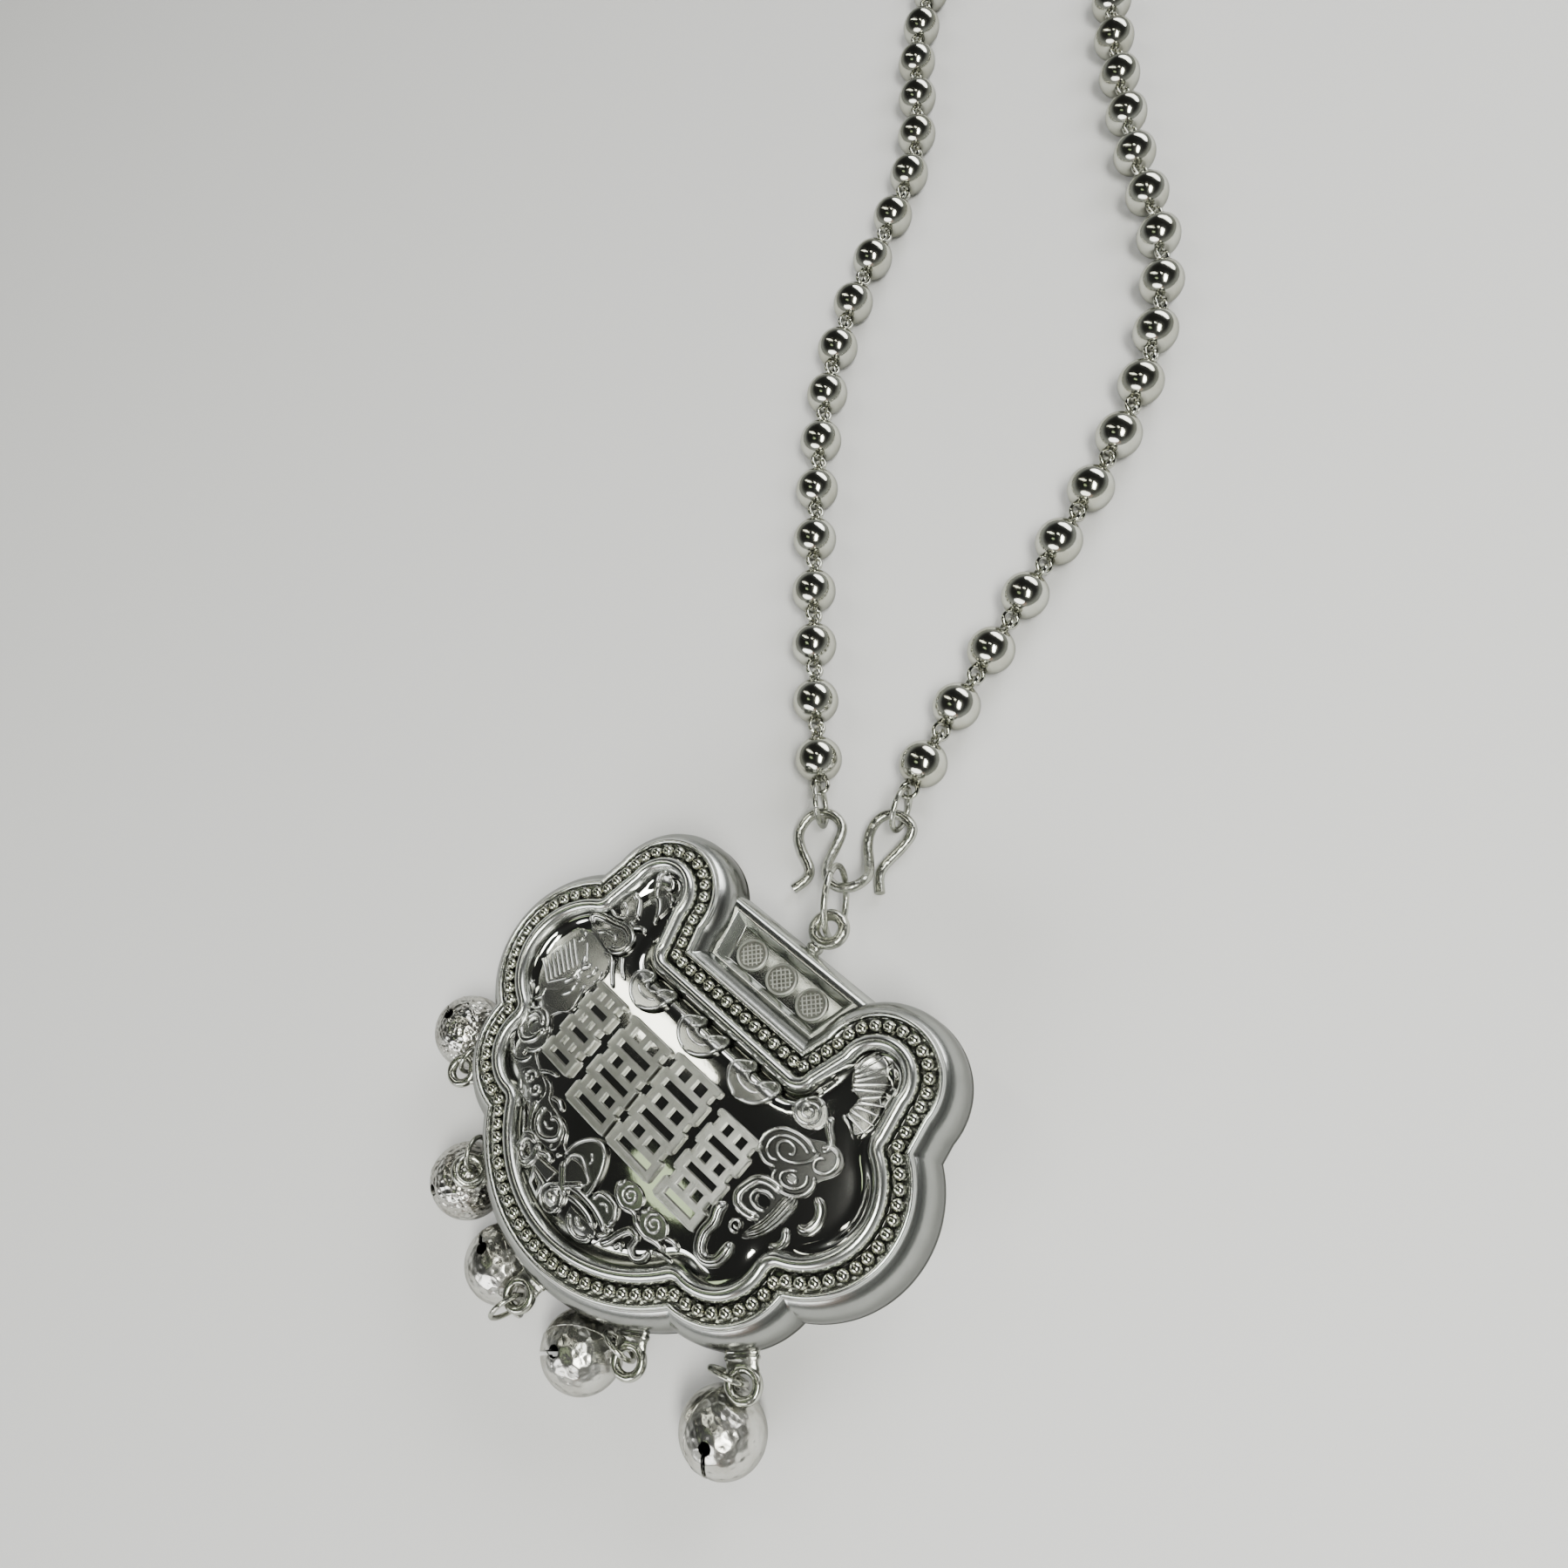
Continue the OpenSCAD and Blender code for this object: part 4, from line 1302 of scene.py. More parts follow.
ORNAMENT: list[Motif] = [
    cloud_head("cloud_left", -7.2, -4.05),
    cloud_head("cloud_middle", -0.2, -3.95),
    cloud_head("cloud_right", 6.3, -3.9),
    lattice_panel("panel_1", -10.0, -10.7, 4.2, 8.6, 0.3),
    lattice_panel("panel_2", -3.75, -11.4, 5.6, 9.8, 0.22),
    lattice_panel("panel_3", 2.35, -11.2, 5.6, 10.2),
    lattice_panel("panel_4", 8.45, -11.8, 4.8, 9.4),
    Motif("cast_ground", (), (
        fill([(-19.3, -4.5), (-17.6, -3.8), (-14.6, -4.0), (-12.7, -4.7), (-12.4, -6.5),
              (-12.8, -8.2), (-12.7, -10.4), (-13.7, -11.5), (-14.3, -12.5), (-14.9, -12.75),
              (-16.0, -11.9), (-17.7, -11.3), (-19.4, -9.5), (-20.2, -7.0)], 0.2, (), 0.25),
        fill([(-14.2, -12.9), (-13.0, -13.2), (-12.4, -14.3), (-12.6, -15.6), (-11.0, -16.4),
              (-8.8, -16.6), (-7.9, -17.6), (-6.4, -17.9), (-4.4, -18.3), (-3.6, -19.4),
              (-2.7, -19.7), (-1.5, -19.6), (0.2, -20.3), (1.7, -20.4), (2.4, -19.8),
              (3.6, -19.6), (4.8, -20.2), (5.0, -21.8), (4.3, -23.9), (2.4, -24.5),
              (1.4, -24.3), (0.2, -24.7), (-4.3, -24.0), (-7.9, -21.9), (-10.3, -19.6),
              (-12.3, -18.4), (-14.6, -17.6), (-15.6, -15.8), (-15.3, -13.9)], 0.2,
             ([(-10.9, -19.3), (-10.1, -19.3), (-10.2, -20.1), (-10.6, -20.3)],
              [(-13.9, -15.9), (-13.0, -15.8), (-13.1, -16.5), (-13.8, -16.6)]), 0.25),
    )),
    Motif("curl_disc", (
        Stroke(spiral(11.85, -2.3, 1.42, 2.3, 60, 0.1), 0.38, 0.62, 0.8),
    ), (Patch(disc_rim(11.85, -2.3, 1.62, 1.4), 0.3),)),
    Motif("scroll_cluster", (
        Stroke([(14.6, -4.6), (13.6, -4.25), (12.4, -4.3), (11.2, -4.8), (10.5, -5.7), (10.4, -6.7),
                (10.9, -7.55), (11.9, -7.9), (12.8, -7.65)], 0.42, 0.6, 0.9),
        Stroke([(14.2, -5.0), (13.2, -4.78), (12.2, -4.9), (11.35, -5.45), (11.05, -6.3),
                (11.3, -7.05), (11.95, -7.35), (12.6, -7.1)], 0.36, 0.57, 0.9),
        Stroke([(14.75, -4.2), (14.6, -5.3), (13.9, -6.2), (12.9, -6.72), (12.05, -6.55),
                (11.75, -5.9), (12.2, -5.35), (12.95, -5.4), (13.2, -5.9), (12.75, -6.1)],
               0.36, 0.66, 0.9),
        Stroke([(15.6, -6.0), (16.1, -6.8), (15.9, -7.9), (15.0, -8.7), (13.9, -8.85), (13.1, -8.4),
                (12.9, -7.7)], 0.42, 0.6, 0.9),
        Stroke([(15.1, -6.3), (15.5, -7.0), (15.2, -7.8), (14.5, -8.25), (13.8, -8.2), (13.5, -7.7),
                (13.8, -7.1), (14.4, -6.7)], 0.36, 0.57, 0.9),
        Stroke([(14.5, -3.9), (15.2, -3.35), (16.05, -3.55), (16.45, -4.4), (16.15, -5.3),
                (15.4, -5.65), (14.95, -5.2), (15.05, -4.6), (15.5, -4.45)], 0.42, 0.62, 0.8),
        Stroke([(13.45, -1.35), (13.9, -2.2), (14.7, -2.85), (15.0, -3.5), (14.75, -4.2)], 0.8, 0.6,
               0.8, ONE),
    ), (fill([(10.35, -6.3), (10.7, -5.0), (11.7, -4.3), (13.2, -4.0), (13.9, -3.6), (14.7, -3.2),
              (15.6, -3.0), (16.6, -3.4), (16.9, -4.5), (16.5, -5.5), (16.1, -6.2), (16.0, -7.3),
              (15.2, -8.4), (14.0, -8.7), (12.9, -8.2), (11.6, -7.9), (10.7, -7.3)], 0.2, (),
             0.85),
        Patch(disc_rim(14.45, -7.45, 0.5, 0.42), 0.5, 0.16, 0.1))),
    Motif("trunk", (
        Stroke([(15.5, -8.3), (15.45, -9.6), (15.35, -11.0), (15.0, -12.4), (14.3, -13.6)],
               1.6, 0.8, 0.62, (-0.55, -0.18, 0.2, 0.58)),
        Stroke([(14.7, -8.9), (13.5, -8.85), (12.4, -9.35), (11.95, -10.4), (11.85, -11.4),
                (12.4, -12.05), (13.4, -12.1), (14.5, -11.7)], 0.95, 0.7, 1.0, ONE),
        Stroke([(14.5, -9.7), (13.6, -9.65), (12.85, -10.15), (12.8, -10.9), (13.6, -11.25),
                (14.5, -11.0)], THIN, 0.55, 1.0),
        Stroke(spiral(13.35, -13.45, 0.62, 1.4, -50, 0.15, -1), 0.34, 0.6),
    ), (fill([(12.6, -8.85), (14.4, -8.8), (15.9, -8.9), (16.0, -10.6), (15.6, -12.4),
              (14.6, -13.8), (14.1, -13.7), (14.5, -12.3), (13.2, -12.35), (12.2, -12.0),
              (11.75, -10.9), (11.9, -9.6)], 0.2, [disc_rim(13.75, -10.45, 0.6, 0.5, 16)], 0.85),)),
    Motif("crescent", (
        Stroke([(16.75, -7.25), (17.7, -7.7), (18.15, -8.7), (17.9, -9.8), (17.1, -10.1)], 1.0, 0.6,
               1.0, (0.5,)),
        Stroke([(16.45, -10.8), (17.0, -11.5), (16.95, -12.4), (16.3, -13.0)],
               0.8, 0.5, 0.9, (0.4,)),
    )),
    Motif("hook_ribbon", (
        Stroke([(11.6, -12.7), (11.3, -13.5), (11.65, -14.6), (11.6, -15.9), (12.15, -17.1),
                (13.05, -17.45), (13.85, -16.8), (14.0, -15.7), (13.8, -14.8)], 1.15, 0.75, 0.95,
               TWO),
    )),
    Motif("right_plume", tuple(
        Stroke(bowed(start, end, bow), 0.46, 0.62, 0.35) for start, end, bow in (
            ((12.25, 2.9), (12.75, 5.5), -0.2), ((12.4, 2.6), (13.5, 5.7), -0.1),
            ((12.6, 2.3), (14.2, 5.2), 0.1), ((12.8, 2.0), (14.6, 4.5), 0.0),
            ((12.9, 1.7), (15.3, 4.0), 0.2), ((13.1, 1.4), (15.4, 3.2), 0.0),
            ((14.1, 1.2), (15.6, 2.9), 0.2), ((14.2, 0.9), (16.2, 2.2), 0.2),
            ((14.2, 0.5), (16.4, 1.3), 0.1), ((14.2, 0.1), (16.6, 0.4), 0.0),
            ((14.2, -0.3), (16.5, -0.6), 0.0), ((14.0, -0.6), (16.0, -1.6), 0.1),
            ((11.0, 0.9), (11.5, 4.9), -0.1), ((10.9, 1.8), (11.0, 3.9), -0.1),
        )
    ), (fill([(12.3, 2.6), (12.3, 3.8), (12.9, 5.2), (13.9, 5.2), (14.6, 4.3), (15.2, 3.5),
              (15.3, 2.6), (16.0, 2.0), (16.3, 0.9), (16.3, -0.4), (15.8, -1.2), (15.0, -0.6),
              (14.2, 0.0), (14.1, 1.3), (13.2, 1.5)]),)),
    Motif("left_plume", (
        Stroke([(-15.3, 6.2), (-15.6, 4.9), (-15.2, 3.7), (-14.3, 2.9)], 0.7, 0.55, 0.7, ONE),
        Stroke([(-14.9, 5.1), (-14.3, 5.3), (-13.9, 4.7), (-14.4, 4.3), (-14.9, 4.6)], THIN, 0.5),
        Stroke([(-14.2, 4.0), (-13.2, 3.9), (-12.5, 3.2)], 0.85, 0.55, 0.6, TWO),
        Stroke([(-15.0, 3.0), (-13.9, 2.9), (-12.9, 2.0), (-12.4, 0.9)], 0.85, 0.6, 0.5, ONE),
        Stroke([(-16.7, 2.0), (-15.8, 1.6), (-15.0, 0.8), (-14.4, 0.2)], 0.7, 0.5, 0.8, ONE),
        Stroke([(-17.0, 0.6), (-16.2, 0.3), (-15.4, -0.5)], 0.6, 0.4, 0.8),
        Stroke([(-14.8, -0.2), (-13.9, -0.6), (-12.9, -0.1), (-12.3, -0.4)], 0.6, 0.55, 0.7, ONE),
    ), (fill([(-15.8, 6.0), (-15.9, 4.6), (-15.5, 3.4), (-15.3, 2.5), (-13.7, 2.3), (-12.7, 1.4),
              (-12.4, 2.6), (-12.8, 3.8), (-13.9, 4.4), (-14.6, 5.5)]),
        fill([(-17.0, 2.2), (-17.1, 0.4), (-15.9, -0.6), (-14.6, -0.8), (-14.4, 0.3), (-15.2, 1.4),
              (-16.1, 2.1)]))),
    Motif("sash", (
        Stroke([(-18.1, -3.1), (-18.3, -2.3), (-17.3, -1.8), (-15.9, -1.5), (-14.5, -1.15),
                (-13.2, -1.5), (-12.75, -2.5), (-13.4, -3.4), (-14.6, -3.6)], 1.05, 0.62, 0.9, TWO),
        Stroke([(-17.0, -3.4), (-16.1, -2.7), (-15.0, -2.5), (-14.2, -2.7)], 0.7, 0.55, 0.7, ONE),
        Stroke([(-18.6, -0.9), (-17.7, -0.6), (-16.6, -0.9), (-15.3, -0.4)], 0.5, 0.45, 0.8),
        Stroke([(-12.4, -3.4), (-11.4, -4.3), (-10.2, -4.9)], 0.6, 0.5, 0.5, ONE),
        Stroke([(-14.4, -4.4), (-13.2, -4.2), (-11.8, -5.3), (-10.6, -6.2)], 0.55, 0.5, 0.6, ONE),
    ), (fill([(-18.4, -2.9), (-18.0, -2.1), (-16.4, -1.4), (-14.6, -1.0), (-13.1, -1.4),
              (-12.5, -2.4), (-13.0, -3.6), (-14.5, -3.9), (-16.0, -3.6), (-17.5, -3.6)]),)),
    Motif("ribbed_bundle", tuple(
        Stroke([(-18.6 - 0.19 * k, -5.3 - 0.51 * k), (-17.1 - 0.21 * k, -6.15 - 0.48 * k),
                (-15.5 - 0.24 * k, -7.0 - 0.46 * k)], 0.34, 0.6, 1.0)
        for k in range(8)
    ) + (
        Stroke([(-15.9, -5.6), (-15.2, -6.6), (-15.0, -7.9), (-15.6, -9.2)], 0.6, 0.66, 1.0, ONE),
        Stroke([(-14.2, -5.9), (-14.9, -6.7), (-14.9, -7.5), (-14.2, -7.8)], 0.75, 0.7, 0.7, ONE),
        Stroke([(-13.7, -5.6), (-13.5, -6.5), (-13.9, -7.3)], 0.5, 0.6, 0.8),
        Stroke([(-14.3, -8.0), (-14.1, -9.1), (-14.8, -10.2)], 0.6, 0.55, 0.6, ONE),
        Stroke([(-13.5, -7.8), (-12.9, -8.8), (-12.6, -10.1)], 0.6, 0.55, 0.6, ONE),
        Stroke([(-12.9, -5.6), (-12.5, -6.3), (-12.8, -7.2)], 0.4, 0.5, 0.8),
        Stroke([(-18.9, -4.4), (-18.0, -4.2), (-17.7, -5.0), (-18.4, -5.4)], 0.5, 0.5, 0.9),
        Stroke([(-17.0, -10.6), (-16.8, -11.6), (-17.4, -12.4)], 0.5, 0.4, 0.8, ONE),
    ), (
        Patch([(-19.8, -9.0), (-17.2, -10.3), (-15.6, -8.6), (-15.1, -6.0), (-16.8, -4.7),
               (-18.4, -5.0), (-19.6, -7.0)], 0.4, 0.1),
        fill([(-16.9, -10.8), (-15.4, -9.8), (-14.6, -8.2), (-13.2, -7.8), (-12.6, -9.9),
              (-12.9, -10.9), (-14.4, -11.6), (-15.9, -11.9)]),
        fill([(-14.8, -4.6), (-13.0, -4.6), (-12.3, -6.0), (-12.6, -7.4), (-14.0, -7.9),
              (-15.2, -6.8)]),
    )),
    Motif("knotted_ring", (
        Stroke([(-13.5, -13.3), (-13.9, -14.9), (-15.0, -15.7), (-16.2, -15.2), (-16.5, -14.0),
                (-15.8, -13.0), (-14.7, -12.9), (-14.0, -13.5)], 0.8, 0.62, 0.9, ONE),
        Stroke([(-15.7, -12.2), (-14.9, -12.2), (-14.0, -12.6), (-13.2, -13.4)], THIN, 0.55),
        Stroke([(-17.2, -12.6), (-16.6, -12.9), (-16.0, -12.4)], 0.5, 0.5, 0.7),
        Stroke([(-13.9, -16.2), (-12.9, -15.6), (-12.3, -14.6)], 0.6, 0.5, 0.6, ONE),
        Stroke([(-18.8, -11.0), (-18.9, -12.4), (-17.9, -13.9), (-16.9, -14.8)],
               0.5, 0.4, 0.7, ONE),
        Stroke([(-15.6, -17.0), (-14.4, -17.5), (-13.2, -17.0), (-12.7, -16.1)],
               0.7, 0.5, 0.7, ONE),
    ), (fill([(-16.9, -14.2), (-16.1, -12.7), (-14.6, -12.4), (-13.3, -13.4), (-13.6, -15.0),
              (-14.9, -16.0), (-16.3, -15.5)], 0.3, [disc_rim(-14.9, -14.1, 0.75, 0.65, 16)]),
        fill([(-18.7, -11.2), (-17.6, -12.2), (-17.0, -14.2), (-15.9, -16.4), (-14.0, -17.4),
              (-14.6, -18.0), (-16.4, -16.6), (-17.6, -14.8), (-18.6, -13.0)]))),
    Motif("left_blossoms", (
        Stroke(spiral(-11.2, -17.6, 0.8, 1.3, 30), 0.36, 0.55),
        Stroke(spiral(-9.8, -17.9, 0.7, 1.2, 200), 0.34, 0.55),
        Stroke([(-12.4, -18.4), (-11.6, -19.3), (-10.4, -19.4), (-9.4, -19.0)],
               0.55, 0.5, 0.7, ONE),
        Stroke([(-10.9, -16.6), (-9.8, -15.9), (-8.8, -15.6)], 0.55, 0.5, 0.7, ONE),
        Stroke([(-11.4, -20.6), (-10.3, -21.4), (-9.2, -21.9)], 0.6, 0.45, 0.6, ONE),
        Stroke([(-9.9, -20.2), (-8.9, -21.0), (-8.1, -21.8)], 0.7, 0.5, 0.7, ONE),
        *pellets(0.15, 0.7, (-12.3, -17.7), (-12.0, -19.0), (-10.6, -18.7), (-8.8, -18.0)),
    ), (fill([(-12.9, -18.0), (-12.0, -16.9), (-10.4, -16.6), (-8.8, -17.2), (-8.6, -18.5),
              (-9.6, -19.3), (-11.2, -19.8), (-12.4, -19.2)]),)),
    Motif("lower_scrolls", (
        Stroke([(-8.9, -18.4), (-8.6, -19.6), (-8.0, -20.6), (-7.1, -21.2)], 0.8, 0.55, 0.7, TWO),
        Stroke([(-7.7, -18.3), (-7.6, -19.6), (-6.6, -20.4), (-5.4, -20.2), (-4.6, -19.4),
                (-5.0, -18.5), (-5.9, -18.3), (-6.5, -18.9)], 0.7, 0.6, 0.8, ONE),
        Stroke([(-7.9, -17.4), (-6.9, -17.1), (-5.9, -17.5)], 0.55, 0.5, 0.8, ONE),
        Stroke([(-6.9, -19.3), (-6.1, -19.5), (-5.5, -19.1)], THIN, 0.5),
        Stroke(spiral(-6.6, -22.3, 1.2, 1.0, 60, 1.0), 0.9, 0.66, 1.0, TWO),
        Stroke([(-6.0, -21.2), (-5.2, -21.5), (-4.4, -21.2), (-3.6, -21.5)], 0.6, 0.5, 0.9),
        *pellets(0.2, 0.62, (-5.8, -20.4), (-4.6, -20.4), (-3.5, -20.5), (-5.6, -21.3),
                 (-4.5, -21.4)),
    ), (fill([(-7.7, -20.2), (-7.7, -18.9), (-6.9, -18.3), (-6.2, -18.7), (-5.4, -18.2),
              (-4.4, -18.6), (-4.0, -19.6), (-4.2, -20.6), (-5.5, -20.9), (-6.8, -20.9)]),
        fill(disc_rim(-6.5, -22.5, 1.55, 1.5, 24), 0.36, [disc_rim(-6.5, -22.3, 0.6, 0.6, 16)]))),
    Motif("knotted_heart", (
        Stroke([(-2.9, -20.0), (-2.5, -18.3), (-1.5, -17.1), (-0.4, -16.8), (0.5, -17.4),
                (1.15, -18.7), (1.4, -20.1), (1.4, -21.2)], 0.42, 0.6, 1.0),
        Stroke([(-2.1, -20.5), (-2.25, -19.6), (-1.5, -19.0), (-0.6, -19.2), (0.2, -19.7),
                (0.9, -20.0)], 0.4, 0.6, 0.8),
        Stroke([(-0.9, -18.0), (-0.3, -18.4), (-0.3, -19.0)], 0.4, 0.5, 0.8),
        Stroke([(-2.7, -20.4), (-1.7, -21.5), (-0.4, -22.8)], 0.85, 0.62, 1.0, TWO),
        Stroke([(0.6, -20.4), (-0.7, -21.6), (-2.3, -23.1)], 0.85, 0.56, 1.0, TWO),
    ), (fill([(-2.8, -20.2), (-2.6, -18.6), (-1.6, -17.3), (-0.4, -17.0), (0.6, -17.7),
              (1.2, -19.2), (1.2, -21.0), (0.5, -20.4), (-0.5, -19.4), (-1.7, -19.5)]),
        fill([(-2.0, -19.7), (-0.6, -19.5), (0.8, -20.2), (-0.9, -21.8), (-2.0, -20.8)], 0.5))),
    Motif("folded_box", (), (
        Patch([(-5.0, -22.0), (-2.5, -21.7), (-2.7, -22.9), (-5.0, -22.8)], 0.4, 0.08, 0.05),
        Patch([(-4.9, -22.9), (-4.6, -24.4), (-2.8, -24.9), (-2.9, -23.2)], 0.4, 0.07, 0.08,
              ([(-4.4, -23.3), (-3.3, -23.5), (-3.3, -24.4), (-4.2, -24.1)],)),
    )),
    Motif("round_gem", (
        Stroke(spiral(-1.4, -23.6, 1.25, 1.0, 0, 1.0), 0.3, 0.62, 1.0),
        Stroke([(-1.4, -24.6), (-1.4, -23.6), (-1.4, -22.6)], 2.0, 0.95, 1.0),
    ), (fill(disc_rim(-1.4, -23.6, 1.4, 1.4, 24), 0.4),)),
    Motif("rope", (
        Stroke([(-0.6, -21.6), (0.8, -21.3), (2.4, -21.3), (3.8, -21.6), (4.8, -22.1)], 0.62, 0.6,
               0.9, ONE),
        Stroke([(-0.3, -22.35), (1.0, -22.1), (2.5, -22.15), (3.7, -22.6)], 0.62, 0.6, 0.9, ONE),
        Stroke([(0.9, -23.2), (1.6, -24.1), (2.7, -24.4), (3.7, -23.8), (3.8, -23.0)], 0.75, 0.6,
               0.9, TWO),
        Stroke([(1.6, -22.9), (2.4, -23.4), (3.2, -23.1)], 0.5, 0.6, 0.9),
        Stroke([(2.0, -20.9), (2.2, -20.0), (3.1, -19.7), (4.1, -19.8), (4.7, -20.6), (4.6, -21.4)],
               0.6, 0.55, 0.9, ONE),
        Stroke([(2.7, -20.7), (3.3, -20.3), (4.0, -20.7)], THIN, 0.5, 1.0),
    ), (fill([(1.9, -21.3), (1.9, -20.2), (2.7, -19.6), (4.3, -19.7), (4.9, -20.6), (4.7, -21.6)]),
        fill([(0.6, -22.7), (0.9, -23.8), (2.2, -24.7), (3.5, -24.3), (4.1, -23.2),
              (3.7, -22.6)]))),
    Motif("double_curls", (
        Stroke(spiral(4.7, -18.1, 0.85, 1.8, 100, 0.12), 0.34, 0.6),
        Stroke(spiral(7.9, -18.4, 0.9, 1.8, 100, 0.12), 0.34, 0.6),
        Stroke([(3.0, -17.8), (3.4, -18.8), (4.6, -19.3), (5.8, -19.0), (6.6, -19.5), (7.8, -19.7),
                (9.0, -19.4), (10.0, -19.5)], 0.5, 0.55, 0.9, ONE),
        Stroke([(6.2, -18.5), (6.7, -18.0), (6.6, -17.5)], 0.4, 0.5),
        Stroke([(9.2, -18.6), (10.1, -18.3), (10.9, -18.6)], 0.5, 0.5, 0.7, ONE),
        Stroke([(3.1, -18.3), (3.4, -17.8), (3.3, -17.4)], 0.4, 0.5),
    ), (fill(disc_rim(4.6, -18.1, 1.45, 1.05, 24)), fill(disc_rim(7.85, -18.5, 1.45, 1.1, 24)))),
    Motif("streamers", (
        Stroke([(4.9, -23.2), (5.5, -22.3), (5.9, -21.2), (6.5, -20.3), (7.3, -20.4), (7.4, -21.3),
                (8.1, -21.9), (8.8, -21.3), (8.9, -20.4)], 0.8, 0.58, 0.8, TWO),
        Stroke([(6.2, -22.6), (6.5, -21.8), (6.9, -22.3)], 0.5, 0.5, 0.6, ONE),
        Stroke([(9.0, -20.3), (9.9, -20.0), (10.9, -19.9)], 0.5, 0.5, 0.5, ONE),
        Stroke([(4.2, -22.8), (4.9, -22.2), (5.0, -21.4)], 0.5, 0.5, 0.7),
    )),
]


@dataclass(frozen=True)
class BellPlace:
    """Where one bell hangs: its loop, its ring and its own heading."""

    lobe: Lobe
    loop_heading: float
    loop_lift: float
    ring_heading: float
    ring_height: float
    bell_heading: float
    eye_reach: float

    SEAM_OUT = 3.0
    TAB_ROOT = 0.4
    TAB_REACH = 2.85
    RING_R = 1.7
    BELL_R = 3.9
    EYE_PLAY = 0.05

    def root(self) -> Array:
        """Where the loop leaves the wall."""
        reach = self.lobe.r + self.SEAM_OUT - self.TAB_ROOT
        return self.lobe.centre + reach * heading(self.loop_heading)

    def ring_middle(self) -> Array:
        """Middle of the ring in the plane."""
        reach = self.TAB_REACH * math.cos(math.radians(self.loop_lift))
        hole = self.root() + reach * heading(self.loop_heading)
        return hole + self.RING_R * heading(self.ring_heading)

    def tilt(self) -> float:
        """How far the bell tips up, in degrees."""
        rise = self.ring_height - self.RING_R + self.EYE_PLAY - self.BELL_R
        return math.degrees(math.asin(rise / self.eye_reach))

    def bell_matrix(self) -> Matrix:
        """Place of a bell whose eye points towards +x, in millimetres."""
        tilt = self.tilt()
        reach = self.eye_reach * math.cos(math.radians(tilt))
        x, y = self.ring_middle() + reach * heading(self.bell_heading)
        return (Matrix.Translation((x, y, self.BELL_R))
                @ Matrix.Rotation(math.radians(self.bell_heading + 180), 4, "Z")
                @ Matrix.Rotation(math.radians(-tilt), 4, "Y"))


LEFT_LOW = Lobe(-RimLine.LOW.x, RimLine.LOW.y, RimLine.LOW.r)
BELL_PLACES = (
    BellPlace(LEFT_LOW, -136.5, 0, 90.5, 6.7, 167.2, 4.55),
    BellPlace(RimLine.FOOT, -125, 41, 120.8, 8.34, 251.1, 4.68),
    BellPlace(RimLine.FOOT, -90, 0, 258.6, 6.58, 161.6, 4.68),
    BellPlace(RimLine.FOOT, -55, 0, 178.6, 6.39, 228, 4.95),
    BellPlace(RimLine.LOW, -43.5, 0, 199.7, 6.51, 296.4, 4.73),
)


